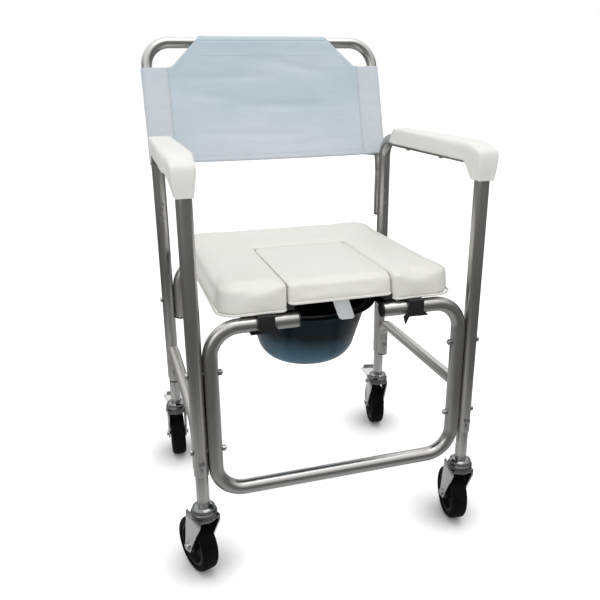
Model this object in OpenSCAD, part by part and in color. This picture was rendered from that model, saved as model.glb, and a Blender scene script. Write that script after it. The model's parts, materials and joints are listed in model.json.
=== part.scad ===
// Wheeled shower commode chair: bent tube frame, sling back, padded seat with a
// draw-out front insert, pail on rails, and four swivel casters with rear brakes.
// Millimetres. X to the sitter's left, Y to the back, Z up, floor at zero.

/* [Frame] */
// Distance between the centres of the left and right legs
leg_span = 500; // [460:5:560]
// Distance between the centres of the front and rear legs
leg_depth = 408; // [390:2:450]
// Height of the arm tube's centre
arm_h = 719; // [702:1:757]
// Outside diameter of the side frames and the front frame
tube_d = 25.4; // [24:0.2:27]
// Wall of every frame tube
tube_wall = 1.6; // [1.2:0.1:2]
// Centre-line radius of the bends at both ends of the arm
arm_bend_r = 40; // [36:1:50]
// Height of the lower end of the leg tubes
leg_end_h = 209; // [203:1:213]
// Reach of the leg extensions above the stretchers' bolts
extension_lap = 11; // [8:0.5:13]

/* [Front frame and braces] */
// Height of the tubes that carry the seat
seat_tube_h = 472; // [457:1:487]
// Height of the front frame's lower bar
front_low_h = 170; // [163:1:173]
// Centre-line radius of the bends of the front frame and the rear crossbar
frame_bend_r = 50; // [42:1:56]
// Open gap between the two upper ends of the front frame
front_gap = 152; // [130:2:180]
// Depth of the rear crossbar's bent ends below its top
crossbar_drop = 119; // [105:1:130]
// Outside diameter of the side stretchers and the back frame
brace_d = 22.2; // [20:0.2:23]
// Height of the side stretchers
stretcher_h = 292; // [287:1:299]
// Depth of the stretchers' bent ends below their centre
stretcher_drop = 79; // [76:1:82]
// Centre-line radius of the stretchers' bends
stretcher_bend_r = 31; // [29:1:33]

/* [Back] */
// Height of the lower ends of the back posts
back_low_h = 547; // [537:1:557]
// Height of the bend above the lower ends of the back posts
knee_rise = 95; // [88:1:110]
// Centre-line radius of the lean
knee_r = 120; // [90:5:160]
// Angle of the lean, in degrees
recline = 17; // [10:1:20]
// Length of the leaning posts up to the centre of the top bar
back_len = 254; // [230:2:290]
// Centre-line radius of the top corners
back_bend_r = 50; // [40:1:60]
// Thickness of the sling's cloth
cloth_t = 1.4; // [1:0.1:2]
// Length of the sling below the top bar's centre
sling_len = 250; // [200:2:252]
// Width of the sling's sleeve on the top bar
sling_top_w = 272; // [240:4:340]
// Backward sag of the sling in the middle
sling_sag = 15; // [6:1:22]

/* [Arm pads] */
// Width of an arm pad
pad_w = 52; // [46:1:54]
// Width of an arm pad at its rear end
pad_rear_w = 42; // [36:1:46]
// Cover above the arm tube
pad_cover = 15; // [12:1:18]
// Length of an arm pad from the front leg's centre to its rear end
pad_len = 352; // [300:2:356]
// Reach of the pad's nose in front of the front leg
pad_nose = 16.5; // [12:0.5:20]
// Depth of the nose's sleeve below the arm tube's centre
pad_sleeve = 35; // [30:1:40]

/* [Seat] */
// Width of the seat cushion
seat_w = 420; // [400:2:430]
// Depth of the seat cushion
seat_l = 430; // [420:1:436]
// Thickness of the seat cushion
cushion_t = 40; // [30:1:50]
// Thickness of the seat board
board_t = 10; // [8:0.5:14]
// Width of the opening in the seat cushion
opening_w = 187; // [170:1:194]
// Depth of the opening in the seat cushion
opening_l = 254; // [230:2:300]
// Ledge of the board that carries the insert
ledge = 13; // [10:0.5:16]
// Thickness of the insert's board
insert_board_t = 7; // [5:0.5:9]
// Width of the pull tab
tab_w = 28; // [24:1:36]
// Drop of the pull tab
tab_l = 38; // [30:1:42]
// Distance of each front seat clip from the middle
clip_x = 132; // [128:0.5:136]
// Width of a seat clip
clip_w = 28; // [22:1:28]

/* [Pail] */
// Radius of the pail's rim
rim_r = 137; // [128:1:138]
// Radius of the pail's wall below the rim
pail_r = 122; // [110:1:123]
// Radius of the pail at its base
pail_base_r = 97; // [90:1:106]
// Depth of the pail
pail_depth = 120; // [110:2:140]
// Wall of the pail
pail_wall = 2.6; // [2:0.1:3.2]
// Distance of the pail's centre in front of the middle of the legs
pail_y = 0; // [-10:1:20]

/* [Casters] */
// Diameter of the wheels
wheel_d = 102; // [96:1:104]
// Width of the tyres
tyre_w = 31; // [28:1:32]
// Height of the caster's top race, where the leg extension stands
caster_h = 148; // [146:0.5:150]
// Trail of the wheel axle behind the swivel
trail = 30; // [26:1:34]
// Swivel of the front left, front right, rear left and rear right casters
swivels = [-20, 10, 2, 11];

/* [Hidden] */
$fn = 48;

// Clearances: pieces that touch, pieces that slide, shafts that turn, and cuts that run past a face
contact_gap = 0.1;
slide_gap = 0.3;
turn_gap = 0.05;
over = 1;

// Bolts, screws and plugs
bolt_d = 6;
bolt_hole_d = bolt_d + 2 * contact_gap;
bolt_head_d = 11;
bolt_head_h = 3.6;
nut_d = 11.5;
nut_h = 5;
bolt_tip = 2;
screw_d = 4;
screw_head_d = 8;
screw_head_h = 2.2;
screw_bite = 8;
screw_hole_d = screw_d + 2 * contact_gap;
plug_cap = 3;
plug_len = 10;

// Heights of the bolts, worked out from the pieces that they join
front_bolt_drop = 77;
front_bolt_rise = 45;
front_bolt_clear = 8;
back_bolt_rises = [27, 55];
crossbar_bolt_rise = 41;
stretcher_bolt_rise = 22;
back_bolt_hs = [for (rise = back_bolt_rises) back_low_h + rise];
crossbar_bolt_h = seat_tube_h - crossbar_drop + crossbar_bolt_rise;
stretcher_bolt_h = stretcher_h - stretcher_drop + stretcher_bolt_rise;
extension_top_h = stretcher_bolt_h + extension_lap;
low_front_bolt_h = max(leg_end_h + front_bolt_rise, extension_top_h + front_bolt_clear);
front_bolt_hs = [seat_tube_h - front_bolt_drop, low_front_bolt_h];

// Tube radii and the places of the legs, with the origin in the middle of the part
tube_r = tube_d / 2;
brace_r = brace_d / 2;
leg_x = leg_span / 2;
post_reach = tube_r + brace_r + contact_gap;
sleeve_r = brace_r + slide_gap + cloth_t;
lean_reach = knee_r * (1 - cos(recline)) + back_len * sin(recline);
front_reach = leg_depth / 2 + tube_r + pad_nose;
back_reach = leg_depth / 2 + post_reach + lean_reach + sleeve_r;
mid_y = (front_reach - back_reach) / 2;
front_y = mid_y - leg_depth / 2;
rear_y = mid_y + leg_depth / 2;
post_y = rear_y + post_reach;
top_bar_y = post_y + lean_reach;
knee_h = back_low_h + knee_rise;
top_bar_h = knee_h + knee_r * sin(recline) + back_len * cos(recline);

// The bend of each post runs a little way into the straight lengths, inside their walls
knee_lap = 1;
knee_skin = 0.1;

// Front frame and crossbar lie inside the legs, the stretchers between them
inner_span = leg_span - 2 * (tube_d + contact_gap);
inner_x = inner_span / 2;
stretcher_len = leg_depth - 2 * post_reach;

// Arm pads
pad_top_h = arm_h + tube_r + pad_cover;
pad_lap = 4;
pad_low_h = arm_h - pad_lap;
pad_edge_r = 11;
pad_end_flat = 3;
pad_crown = 0.6;
pad_nose_r = 42;
pad_lip = 2.6;
pad_sleeve_h = arm_h - pad_sleeve;
pad_shoulder = 16;
pad_screw_shares = [0.42, 0.82];
pad_screw_ys = [for (s = pad_screw_shares) front_y + s * pad_len];

// Seat clips carry the board above the tubes
clip_roof = 3.6;
clip_wall = 4;
clip_jaw = 12;
clip_flange = 30;
clip_screw_x = 8;
clip_screw_y = 34;
clip_lip = 9;
clip_lip_drop = 13;
clip_lip_tip_share = 0.6;
clip_mouth_share = 0.8;
saddle_gap = 0.5;
board_h = seat_tube_h + tube_r + saddle_gap + clip_roof;
cushion_h = board_h + board_t;
cushion_top_h = cushion_h + cushion_t;
seat_overhang = 8;
seat_front_y = front_y - seat_overhang;
seat_rear_y = seat_front_y + seat_l;
board_inset = 9.2;
seat_corner_r = 42;
board_slot_w = opening_w - 2 * ledge;
board_slot_l = opening_l - ledge;
cushion_drawn = 2;
skirt_lines = 2;
cushion_roll = 17;
cushion_waist_share = 0.4;
cushion_crown = 5;
roll_shares = [0, 0.1, 0.4, 1, seat_corner_r / cushion_roll];
insert_side_gap = 1.2;
insert_h = cushion_h + slide_gap;
insert_cushion_h = insert_h + insert_board_t;
tab_t = 2;
tab_setback = 11;
tab_lean = 0.35;
tab_corner_r = 6;

// Pail and the rails that hold its rim
rail_t = 2.5;
rail_side_gap = 2;
rail_x = rim_r + rail_side_gap;
clip_rail_gap = 6;
rear_clip_x = rail_x - clip_rail_gap - clip_w / 2;
rail_lip = 13;
rail_flange = 16;
rail_drop = 26;
rail_end = 10;
rail_setback = 85;
rail_top_h = seat_tube_h - tube_r - contact_gap;
rail_screw_x = rail_x + rail_t + rail_flange / 2;
rim_t = 4;
rim_low_h = rail_top_h - rail_drop + rail_t + slide_gap;
pail_center_y = mid_y - pail_y;
pail_round_r = 46;
arc_steps = 10;

// Casters
corner_names = ["fl", "fr", "rl", "rr"];
wheel_r = wheel_d / 2;
tyre_t = 11;
tyre_shoulder_r = 7;
hub_r = wheel_r - tyre_t;
hub_inset = 2;
hub_w = tyre_w - 2 * hub_inset;
hub_boss_r = 9;
hub_web = 7;
hub_rim = 6;
axle_d = 8;
axle_head_d = 13;
axle_head_h = 4;
fork_t = 3;
fork_side_gap = 2.5;
fork_in = tyre_w / 2 + fork_side_gap;
fork_out = fork_in + fork_t;
fork_eye_r = 11;
fork_crown_t = 6;
fork_front = 19;
fork_back = 28;
race_t = 8;
race_d = 40;
race_neck_d = 31;
race_step = 3;
lower_race_d = 46;
lower_race_bevel = 2.5;
kingpin_d = 12;
kingpin_head_d = 20;
kingpin_head_h = 5;
stem_len = 30;
lower_race_top_h = caster_h - race_t - slide_gap;
lower_race_t = 15;
crown_h = lower_race_top_h - lower_race_t;

// Brake pedal
pedal_t = 2.5;
pedal_pivot_y = 30;
pedal_pivot_drop = 12;
pedal_pivot_h = crown_h - pedal_pivot_drop;
pedal_pin_d = 5;
pedal_lug_r = 4.6;
pedal_side_gap = 1;
pedal_neck_w = 2 * (fork_in - pedal_side_gap);
pedal_flare_w = 48;
pedal_neck_l = 30;
pedal_l = 74;
pedal_lift = 4;
pedal_lip_h = 8;

// Outlines and small shapes

function arc(center, r, from, to, steps = arc_steps) = [for (i = [0 : steps])
    center + r * [cos(from + (to - from) * i / steps), sin(from + (to - from) * i / steps)]];

module rounded_rect(low, high, r) {
    translate(low + [r, 0]) square(high - low - [2 * r, 0]);
    translate(low + [0, r]) square(high - low - [0, 2 * r]);
    for (x = [low[0] + r, high[0] - r], y = [low[1] + r, high[1] - r])
        translate([x, y]) circle(r);
}

module tube_section(d, wall) {
    difference() {
        circle(d = d);
        if (2 * wall < d) circle(d = d - 2 * wall);
    }
}

module tube(len, d, wall) {
    linear_extrude(len) tube_section(d, wall);
}

// A quarter bend in the XZ plane, from +X round to +Z about its centre
module corner_bend(r, d, wall) {
    rotate([90, 0, 0]) rotate_extrude(angle = 90) translate([r, 0]) tube_section(d, wall);
}

// A top bar along X that turns down at both ends
module bent_bar(width, bend_r, d, wall) {
    bar = width - 2 * bend_r;
    translate([-bar / 2, 0, 0]) rotate([0, 90, 0]) tube(bar, d, wall);
    for (side = [0, 1]) mirror([side, 0, 0])
        translate([bar / 2, 0, -bend_r]) corner_bend(bend_r, d, wall);
}

// A tube bent like a staple: a bent bar with two ends that hang down
module staple(width, drop, bend_r, d, wall) {
    bent_bar(width, bend_r, d, wall);
    for (side = [-1, 1])
        translate([side * width / 2, 0, -drop]) tube(drop - bend_r, d, wall);
}

module hole_x(d, len) {
    rotate([0, 90, 0]) cylinder(d = d, h = len, center = true);
}

module hole_y(d, len) {
    rotate([90, 0, 0]) cylinder(d = d, h = len, center = true);
}

// A bolt along X with its head at the positive end of the grip and a nut at the other
module bolt_x(grip) {
    shank = grip + nut_h + bolt_tip;
    translate([grip / 2 - shank, 0, 0]) rotate([0, 90, 0]) cylinder(d = bolt_d, h = shank + over);
    translate([grip / 2, 0, 0]) rotate([0, 90, 0]) cylinder(d = bolt_head_d, h = bolt_head_h);
    translate([-grip / 2 - nut_h, 0, 0]) rotate([0, 90, 0]) cylinder(d = nut_d, h = nut_h, $fn = 6);
}

// A screw that is driven upward, with its head under z = 0
module screw_up(len) {
    translate([0, 0, -screw_head_h]) cylinder(d = screw_head_d, h = screw_head_h);
    translate([0, 0, -over]) cylinder(d = screw_d, h = len + over);
}

// A plug in the end of a tube that points down, with its cap under z = 0
module tube_plug(d) {
    translate([0, 0, -plug_cap]) cylinder(d = d, h = plug_cap);
    cylinder(d = d - 2 * (tube_wall + contact_gap), h = plug_len);
}

// Frame

module side_frame(side) {
    color("silver") difference() {
        translate([side * leg_x, mid_y, arm_h]) rotate(90)
            staple(leg_depth, arm_h - leg_end_h, arm_bend_r, tube_d, tube_wall);
        for (h = front_bolt_hs)
            translate([side * leg_x, front_y, h]) hole_x(bolt_hole_d, tube_d + 2 * over);
        translate([side * leg_x, rear_y, crossbar_bolt_h]) hole_x(bolt_hole_d, tube_d + 2 * over);
        for (y = [front_y, rear_y])
            translate([side * leg_x, y, stretcher_bolt_h]) hole_y(bolt_hole_d, tube_d + 2 * over);
        for (h = back_bolt_hs)
            translate([side * leg_x, rear_y, h]) hole_y(bolt_hole_d, tube_d + 2 * over);
        for (y = pad_screw_ys) translate([side * leg_x, y, arm_h])
            cylinder(d = screw_hole_d, h = tube_d + 2 * over, center = true);
    }
}

module front_frame() {
    arm = inner_x - frame_bend_r - front_gap / 2;
    rise = seat_tube_h - front_low_h;
    color("silver") difference() {
        translate([0, front_y, front_low_h]) {
            mirror([0, 0, 1]) bent_bar(inner_span, frame_bend_r, tube_d, tube_wall);
            for (side = [0, 1]) mirror([side, 0, 0]) {
                translate([inner_x, 0, frame_bend_r]) tube(rise - 2 * frame_bend_r, tube_d, tube_wall);
                translate([inner_x - frame_bend_r, 0, rise - frame_bend_r])
                    corner_bend(frame_bend_r, tube_d, tube_wall);
                translate([front_gap / 2, 0, rise]) rotate([0, 90, 0]) tube(arm, tube_d, tube_wall);
            }
        }
        for (side = [-1, 1]) {
            for (h = front_bolt_hs)
                translate([side * inner_x, front_y, h]) hole_x(bolt_hole_d, tube_d + 2 * over);
            translate([side * rail_screw_x, front_y, rail_top_h]) cylinder(d = screw_hole_d, h = tube_r);
        }
    }
}

module rear_crossbar() {
    color("silver") difference() {
        translate([0, rear_y, seat_tube_h])
            staple(inner_span, crossbar_drop, frame_bend_r, tube_d, tube_wall);
        for (side = [-1, 1]) {
            translate([side * inner_x, rear_y, crossbar_bolt_h]) hole_x(bolt_hole_d, tube_d + 2 * over);
            translate([side * rail_screw_x, rear_y, rail_top_h]) cylinder(d = screw_hole_d, h = tube_r);
        }
    }
}

module stretcher(side) {
    color("silver") difference() {
        translate([side * leg_x, mid_y, stretcher_h]) rotate(90)
            staple(stretcher_len, stretcher_drop, stretcher_bend_r, brace_d, tube_wall);
        for (end = [-1, 1])
            translate([side * leg_x, mid_y + end * stretcher_len / 2, stretcher_bolt_h])
                hole_y(bolt_hole_d, brace_d + 2 * over);
    }
}

// Places its children in the leaning plane of the back, with Z up the posts from the top bar
module in_back_plane() {
    translate([0, top_bar_y, top_bar_h]) rotate([-recline, 0, 0]) children();
}

module back_frame() {
    color("silver") difference() {
        union() {
            in_back_plane() staple(leg_span, back_len, back_bend_r, brace_d, tube_wall);
            for (side = [-1, 1]) {
                translate([side * leg_x, post_y + knee_r, knee_h]) rotate([90, 0, 90])
                    rotate(180 - recline - knee_lap) rotate_extrude(angle = recline + 2 * knee_lap)
                        translate([knee_r, 0])
                            tube_section(brace_d - 2 * knee_skin, tube_wall - 2 * knee_skin);
                translate([side * leg_x, post_y, back_low_h]) tube(knee_h - back_low_h, brace_d, tube_wall);
            }
        }
        for (side = [-1, 1], h = back_bolt_hs)
            translate([side * leg_x, post_y, h]) hole_y(bolt_hole_d, brace_d + 2 * over);
    }
}

module leg_tube(i) {
    color("gainsboro") at_leg(i) difference() {
        translate([0, 0, caster_h])
            tube(extension_top_h - caster_h, tube_d - 2 * (tube_wall + contact_gap), tube_wall);
        translate([0, 0, stretcher_bolt_h]) hole_y(bolt_hole_d, tube_d);
    }
}

// Fasteners of the frame

module front_frame_bolts() {
    color("dimgray") for (side = [0, 1], h = front_bolt_hs) mirror([side, 0, 0])
        translate([(leg_x + inner_x) / 2, front_y, h]) bolt_x(2 * tube_d + contact_gap);
}

module back_frame_bolts() {
    grip = tube_d + brace_d + contact_gap;
    color("dimgray") for (side = [-1, 1], h = back_bolt_hs)
        translate([side * leg_x, rear_y - tube_r + grip / 2, h]) rotate(-90) bolt_x(grip);
}

module crossbar_bolts() {
    color("dimgray") for (side = [0, 1]) mirror([side, 0, 0])
        translate([(leg_x + inner_x) / 2, rear_y, crossbar_bolt_h]) bolt_x(2 * tube_d + contact_gap);
}

module stretcher_bolts() {
    grip = tube_d + brace_d + contact_gap;
    color("dimgray") for (side = [-1, 1]) translate([side * leg_x, 0, stretcher_bolt_h]) {
        translate([0, front_y - tube_r + grip / 2, 0]) rotate(-90) bolt_x(grip);
        translate([0, rear_y + tube_r - grip / 2, 0]) rotate(-90) bolt_x(grip);
    }
}

module front_frame_plugs() {
    color("black") for (side = [0, 1]) mirror([side, 0, 0])
        translate([front_gap / 2, front_y, seat_tube_h]) rotate([0, 90, 0]) tube_plug(tube_d);
}

module frame_plugs() {
    color("black") for (side = [-1, 1]) {
        translate([side * leg_x, post_y, back_low_h]) tube_plug(brace_d);
        translate([side * inner_x, rear_y, seat_tube_h - crossbar_drop]) tube_plug(tube_d);
        for (end = [-1, 1])
            translate([side * leg_x, mid_y + end * stretcher_len / 2, stretcher_h - stretcher_drop])
                tube_plug(brace_d);
    }
}

// Arm pads: a moulded cover whose nose becomes a sleeve down the front leg

module pad_side_outline() {
    nose_y = -tube_r - pad_nose;
    bend_y = nose_y + pad_nose_r;
    bend_h = pad_top_h - pad_nose_r;
    translate([bend_y, pad_low_h]) square([pad_len - pad_edge_r - bend_y, pad_top_h - pad_low_h]);
    rounded_rect([bend_y, pad_low_h], [pad_len, pad_top_h], pad_edge_r);
    intersection() {
        translate([bend_y, bend_h]) circle(pad_nose_r);
        translate([nose_y, bend_h]) square([pad_nose_r, pad_nose_r]);
    }
    polygon([[nose_y, bend_h], [-tube_r - pad_lip, pad_sleeve_h], [tube_r + pad_lip, pad_sleeve_h],
        [tube_r + pad_shoulder, pad_low_h], [tube_r + pad_shoulder, bend_h + pad_edge_r],
        [bend_y, bend_h + pad_edge_r]]);
}

module pad_front_outline() {
    taper = (pad_w / 2 - tube_r - pad_lip) / (pad_low_h - pad_sleeve_h);
    foot = tube_r + pad_lip - over * taper;
    rounded_rect([-pad_w / 2, pad_low_h], [pad_w / 2, pad_top_h + pad_crown], pad_edge_r);
    translate([-pad_w / 2, pad_low_h]) square([pad_w, pad_edge_r]);
    polygon([[-pad_w / 2, pad_low_h], [-foot, pad_sleeve_h - over], [foot, pad_sleeve_h - over],
        [pad_w / 2, pad_low_h]]);
}

module pad_plan_outline() {
    front = pad_w / 2 + over;
    rear = pad_rear_w / 2;
    front_mid = front - tube_r - pad_nose - pad_end_flat;
    rear_mid = pad_len - rear + pad_end_flat;
    translate([0, front_mid]) circle(front);
    translate([0, rear_mid]) circle(rear);
    polygon([[-front, front_mid], [front, front_mid], [rear, rear_mid], [-rear, rear_mid]]);
}

module arm_pad(side) {
    color("white") difference() {
        translate([side * leg_x, front_y, 0]) intersection() {
            translate([-pad_w / 2 - over, 0, 0]) rotate([90, 0, 90])
                linear_extrude(pad_w + 2 * over) pad_side_outline();
            translate([0, pad_len + over, 0]) rotate([90, 0, 0])
                linear_extrude(pad_len + tube_r + pad_nose + 2 * over) pad_front_outline();
            translate([0, 0, pad_sleeve_h - over])
                linear_extrude(pad_top_h - pad_sleeve_h + 2 * over) pad_plan_outline();
        }
        translate([side * leg_x, mid_y, arm_h]) rotate(90)
            staple(leg_depth, arm_h - leg_end_h, arm_bend_r, tube_d + 2 * contact_gap, tube_d);
        for (y = pad_screw_ys) translate([side * leg_x, y, arm_h])
            cylinder(d = screw_hole_d, h = tube_r + screw_bite + contact_gap);
    }
}

module arm_pad_screws() {
    color("dimgray") for (side = [-1, 1], y = pad_screw_ys)
        translate([side * leg_x, y, arm_h - tube_r]) screw_up(tube_d + screw_bite);
}

// Closed sheet or pad between two grids of points. Cells that keep(i, j) rejects are left open.
module grid_solid(top, low, keep) {
    ni = len(top);
    nj = len(top[0]);
    flat = [for (grid = [top, low], row = grid, p = row) p];
    function id(level, i, j) = (level * ni + i) * nj + j;
    function kept(i, j) = i >= 0 && j >= 0 && i < ni - 1 && j < nj - 1 && keep(i, j);
    function wall(a, b) = [[id(0, b[0], b[1]), id(0, a[0], a[1]), id(1, a[0], a[1])],
        [id(0, b[0], b[1]), id(1, a[0], a[1]), id(1, b[0], b[1])]];
    faces = [for (i = [0 : ni - 2], j = [0 : nj - 2]) if (kept(i, j)) each concat(
        [[id(0, i, j), id(0, i, j + 1), id(0, i + 1, j + 1)],
            [id(0, i, j), id(0, i + 1, j + 1), id(0, i + 1, j)],
            [id(1, i, j), id(1, i + 1, j + 1), id(1, i, j + 1)],
            [id(1, i, j), id(1, i + 1, j), id(1, i + 1, j + 1)]],
        kept(i - 1, j) ? [] : wall([i, j], [i, j + 1]),
        kept(i, j + 1) ? [] : wall([i, j + 1], [i + 1, j + 1]),
        kept(i + 1, j) ? [] : wall([i + 1, j + 1], [i + 1, j]),
        kept(i, j - 1) ? [] : wall([i + 1, j], [i, j]))];
    polyhedron(flat, faces, convexity = 6);
}

// Sling: one sheet in front of the back frame, sewn into sleeves on the posts and the top bar

sling_columns = 22;
sling_rows = 12;
sling_corner_gap = 5;
sling_level_share = 0.45;
sling_corner_drop = back_bend_r + sling_corner_gap;
sling_ripple = 1.1;
sling_ripples = 3;
sheet_t_share = 0.8;
sheet_t = cloth_t * sheet_t_share;
sheet_edge_x = leg_x - cloth_t;

function sling_top(x) = let (share = (leg_x - abs(x)) / (leg_x - sling_top_w / 2))
    -sling_corner_drop * min(max((1 - share) / (1 - sling_level_share), 0), 1);

function sling_depth(x, z) = let (across = 1 - pow(x / sheet_edge_x, 2), down = -z / sling_len)
    across * (sling_sag * down * (2 - down) + sling_ripple * sin(360 * sling_ripples * down) * down);

function sling_grid(offset) = [for (i = [0 : sling_columns])
    let (x = sheet_edge_x * (2 * i / sling_columns - 1))
    [for (j = [0 : sling_rows]) let (z = sling_top(x) + (-sling_len - sling_top(x)) * j / sling_rows)
        [x, sling_depth(x, z) - sleeve_r + cloth_t / 2 + offset, z]]];

module back_sling() {
    color("lightsteelblue") in_back_plane() {
        grid_solid(sling_grid(sheet_t / 2), sling_grid(-sheet_t / 2), function(i, j) true);
        rotate([0, 90, 0]) translate([0, 0, -sling_top_w / 2]) tube(sling_top_w, 2 * sleeve_r, cloth_t);
        for (side = [-1, 1]) translate([side * leg_x, 0, -sling_len])
            tube(sling_len - sling_corner_drop, 2 * sleeve_r, cloth_t);
    }
}

// Seat

module seat_board_outline() {
    half = seat_w / 2 - board_inset;
    difference() {
        rounded_rect([-half, seat_front_y + board_inset], [half, seat_rear_y - board_inset], seat_corner_r);
        translate([0, seat_front_y + board_slot_l - board_slot_w / 2]) circle(d = board_slot_w);
        translate([-board_slot_w / 2, seat_front_y - over])
            square([board_slot_w, board_slot_l - board_slot_w / 2 + over]);
    }
}

module seat_board() {
    color("black") difference() {
        translate([0, 0, board_h]) linear_extrude(board_t) seat_board_outline();
        at_clip_screws() translate([0, 0, board_h - over]) cylinder(d = screw_hole_d, h = screw_bite + over);
    }
}

function rolled(low, high, roll) = concat([for (s = roll_shares) low + s * roll], [(low + high) / 2],
    [for (i = [len(roll_shares) - 1 : -1 : 0]) high - roll_shares[i] * roll]);

// Pulls a point of a square corner in to a round one
function round_corner(p, half_w, low, high, r) = let (
        dx = max(abs(p[0]) - half_w + r, 0),
        dy = max(low + r - p[1], p[1] - high + r, 0),
        m = dx > 0 && dy > 0 ? max(dx, dy) / norm([dx, dy]) : 1,
        sx = sign(p[0]),
        sy = p[1] > (low + high) / 2 ? 1 : -1)
    [p[0] - sx * dx * (1 - m), p[1] - sy * dy * (1 - m)];

function roll_height(d, roll) = sqrt(1 - pow(1 - min(max(d, 0) / roll, 1), 2));

hole_x_half = opening_w / 2;
hole_rear_y = seat_front_y + opening_l;

function edge_distance(x, y) = min(seat_w / 2 - abs(x), y - seat_front_y, seat_rear_y - y,
    norm([max(abs(x) - hole_x_half, 0), max(y - hole_rear_y, 0)]));

function cushion_z(x, y) = cushion_h + cushion_t * cushion_waist_share
    + (cushion_t * (1 - cushion_waist_share) - cushion_crown)
        * roll_height(edge_distance(x, y), cushion_roll)
    + cushion_crown * (1 - pow(2 * x / seat_w, 2))
        * (1 - pow((y - seat_front_y) / seat_l * 2 - 1, 2)) * min(edge_distance(x, y) / cushion_roll, 1);

// Lowers the outer lines of a grid, so that a cushion wraps the edge of its board
function skirted(grid, low) = let (ni = len(grid), nj = len(grid[0])) [for (i = [0 : ni - 1])
    [for (j = [0 : nj - 1]) let (p = grid[i][j], edge = min(i, j, ni - 1 - i, nj - 1 - j))
        edge < skirt_lines ? [p[0], p[1], low] : p]];

module seat_cushion() {
    function lines_x(draw) = concat(rolled(-seat_w / 2 + draw, -hole_x_half - draw, cushion_roll),
        [-hole_x_half / 3, hole_x_half / 3],
        rolled(hole_x_half + draw, seat_w / 2 - draw, cushion_roll));
    function lines_y(draw) = let (ahead = rolled(seat_front_y + draw, hole_rear_y + draw, cushion_roll))
        concat([for (i = [0 : len(ahead) - 2]) ahead[i]],
            rolled(hole_rear_y + draw, seat_rear_y - draw, cushion_roll));
    function grid(draw, level) = [for (x = lines_x(draw)) [for (y = lines_y(draw))
        concat(round_corner([x, y], seat_w / 2 - draw, seat_front_y + draw, seat_rear_y - draw,
            seat_corner_r), level ? cushion_z(x, y) : cushion_h)]];
    side_lines = 2 * len(roll_shares);
    color("whitesmoke") grid_solid(grid(0, true), skirted(grid(cushion_drawn, false), board_h),
        function(i, j) j >= side_lines || i < side_lines || i > side_lines + 2);
}

module insert_board() {
    half = opening_w / 2 - insert_side_gap - board_inset;
    end_y = hole_rear_y - insert_side_gap - board_inset;
    color("black") translate([0, 0, insert_h]) linear_extrude(insert_board_t)
        rounded_rect([-half, seat_front_y + board_inset], [half, end_y], cushion_roll);
}

module insert_cushion() {
    half = opening_w / 2 - insert_side_gap;
    end_y = hole_rear_y - insert_side_gap;
    thick = cushion_top_h - insert_cushion_h - cushion_crown / 2;
    function height(x, y) = let (d = min(half - abs(x), y - seat_front_y, end_y - y))
        insert_cushion_h
            + thick * (cushion_waist_share + (1 - cushion_waist_share) * roll_height(d, cushion_roll));
    function grid(draw, level) = [for (x = rolled(-half + draw, half - draw, cushion_roll))
        [for (y = rolled(seat_front_y + draw, end_y - draw, cushion_roll))
            concat(round_corner([x, y], half - draw, seat_front_y + draw, end_y - draw, cushion_roll),
                level ? height(x, y) : insert_cushion_h)]];
    color("whitesmoke") grid_solid(grid(0, true), skirted(grid(cushion_drawn, false), insert_h),
        function(i, j) true);
}

module insert_tab() {
    color("ghostwhite") translate([0, seat_front_y + tab_setback + tab_t, insert_h]) rotate([90, 0, 0])
        linear_extrude(tab_t) multmatrix([[1, -tab_lean, 0, 0], [0, 1, 0, 0], [0, 0, 1, 0], [0, 0, 0, 1]]) {
            rounded_rect([-tab_w / 2, -tab_l], [tab_w / 2, 0], tab_corner_r);
            translate([-tab_w / 2, -tab_corner_r]) square([tab_w, tab_corner_r]);
        }
}

// Seat clips: open saddles on the front tube, and snap collars that turn on the rear crossbar

module at_clip_screws() {
    for (end = [-1, 1], side = [-1, 1], dx = [-1, 1])
        translate([side * (end < 0 ? clip_x : rear_clip_x) + dx * clip_screw_x,
            (end < 0 ? front_y : rear_y) - end * clip_screw_y, 0]) children();
}

// The clip's side outline about the tube's centre, with its flange toward +X
module clip_outline() {
    inner = tube_r + saddle_gap;
    outer = inner + clip_wall;
    roof = board_h - seat_tube_h;
    difference() {
        union() {
            translate([-outer, -clip_jaw]) square([2 * outer, roof + clip_jaw]);
            translate([0, roof - clip_roof]) square([outer + clip_flange, clip_roof]);
        }
        circle(inner);
        translate([-inner, -clip_jaw - over]) square([2 * inner, clip_jaw + over]);
    }
}

// Gives a clip its width and the holes of its two screws
module clip_body() {
    difference() {
        translate([-clip_w / 2, 0, 0]) rotate([90, 0, 90]) linear_extrude(clip_w) children();
        for (dx = [-1, 1]) translate([dx * clip_screw_x, clip_screw_y, 0])
            cylinder(d = screw_hole_d, h = board_h - seat_tube_h + over);
    }
}

module seat_clip_front(side) {
    outer = tube_r + saddle_gap + clip_wall;
    color("black") translate([side * clip_x, front_y, seat_tube_h]) {
        clip_body() clip_outline();
        mirror([side > 0 ? 1 : 0, 0, 0]) translate([clip_w / 2, -outer + clip_wall, 0]) rotate([90, 0, 0])
            linear_extrude(clip_wall) polygon([[-over, 0], [clip_lip, -clip_jaw],
                [clip_lip * clip_lip_tip_share, -clip_jaw - clip_lip_drop], [-over, -clip_jaw]]);
    }
}

module seat_clip_rear(side) {
    outer = board_h - seat_tube_h;
    mouth = tube_r * clip_mouth_share;
    color("black") translate([side * rear_clip_x, rear_y, seat_tube_h]) mirror([0, 1, 0])
        clip_body() difference() {
            union() {
                circle(outer);
                translate([-outer, 0]) square([2 * outer, outer]);
                translate([0, outer - clip_roof]) square([outer + clip_flange, clip_roof]);
            }
            circle(tube_r + turn_gap);
            translate([-mouth, -outer - over]) square([2 * mouth, outer + over]);
        }
}

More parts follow.
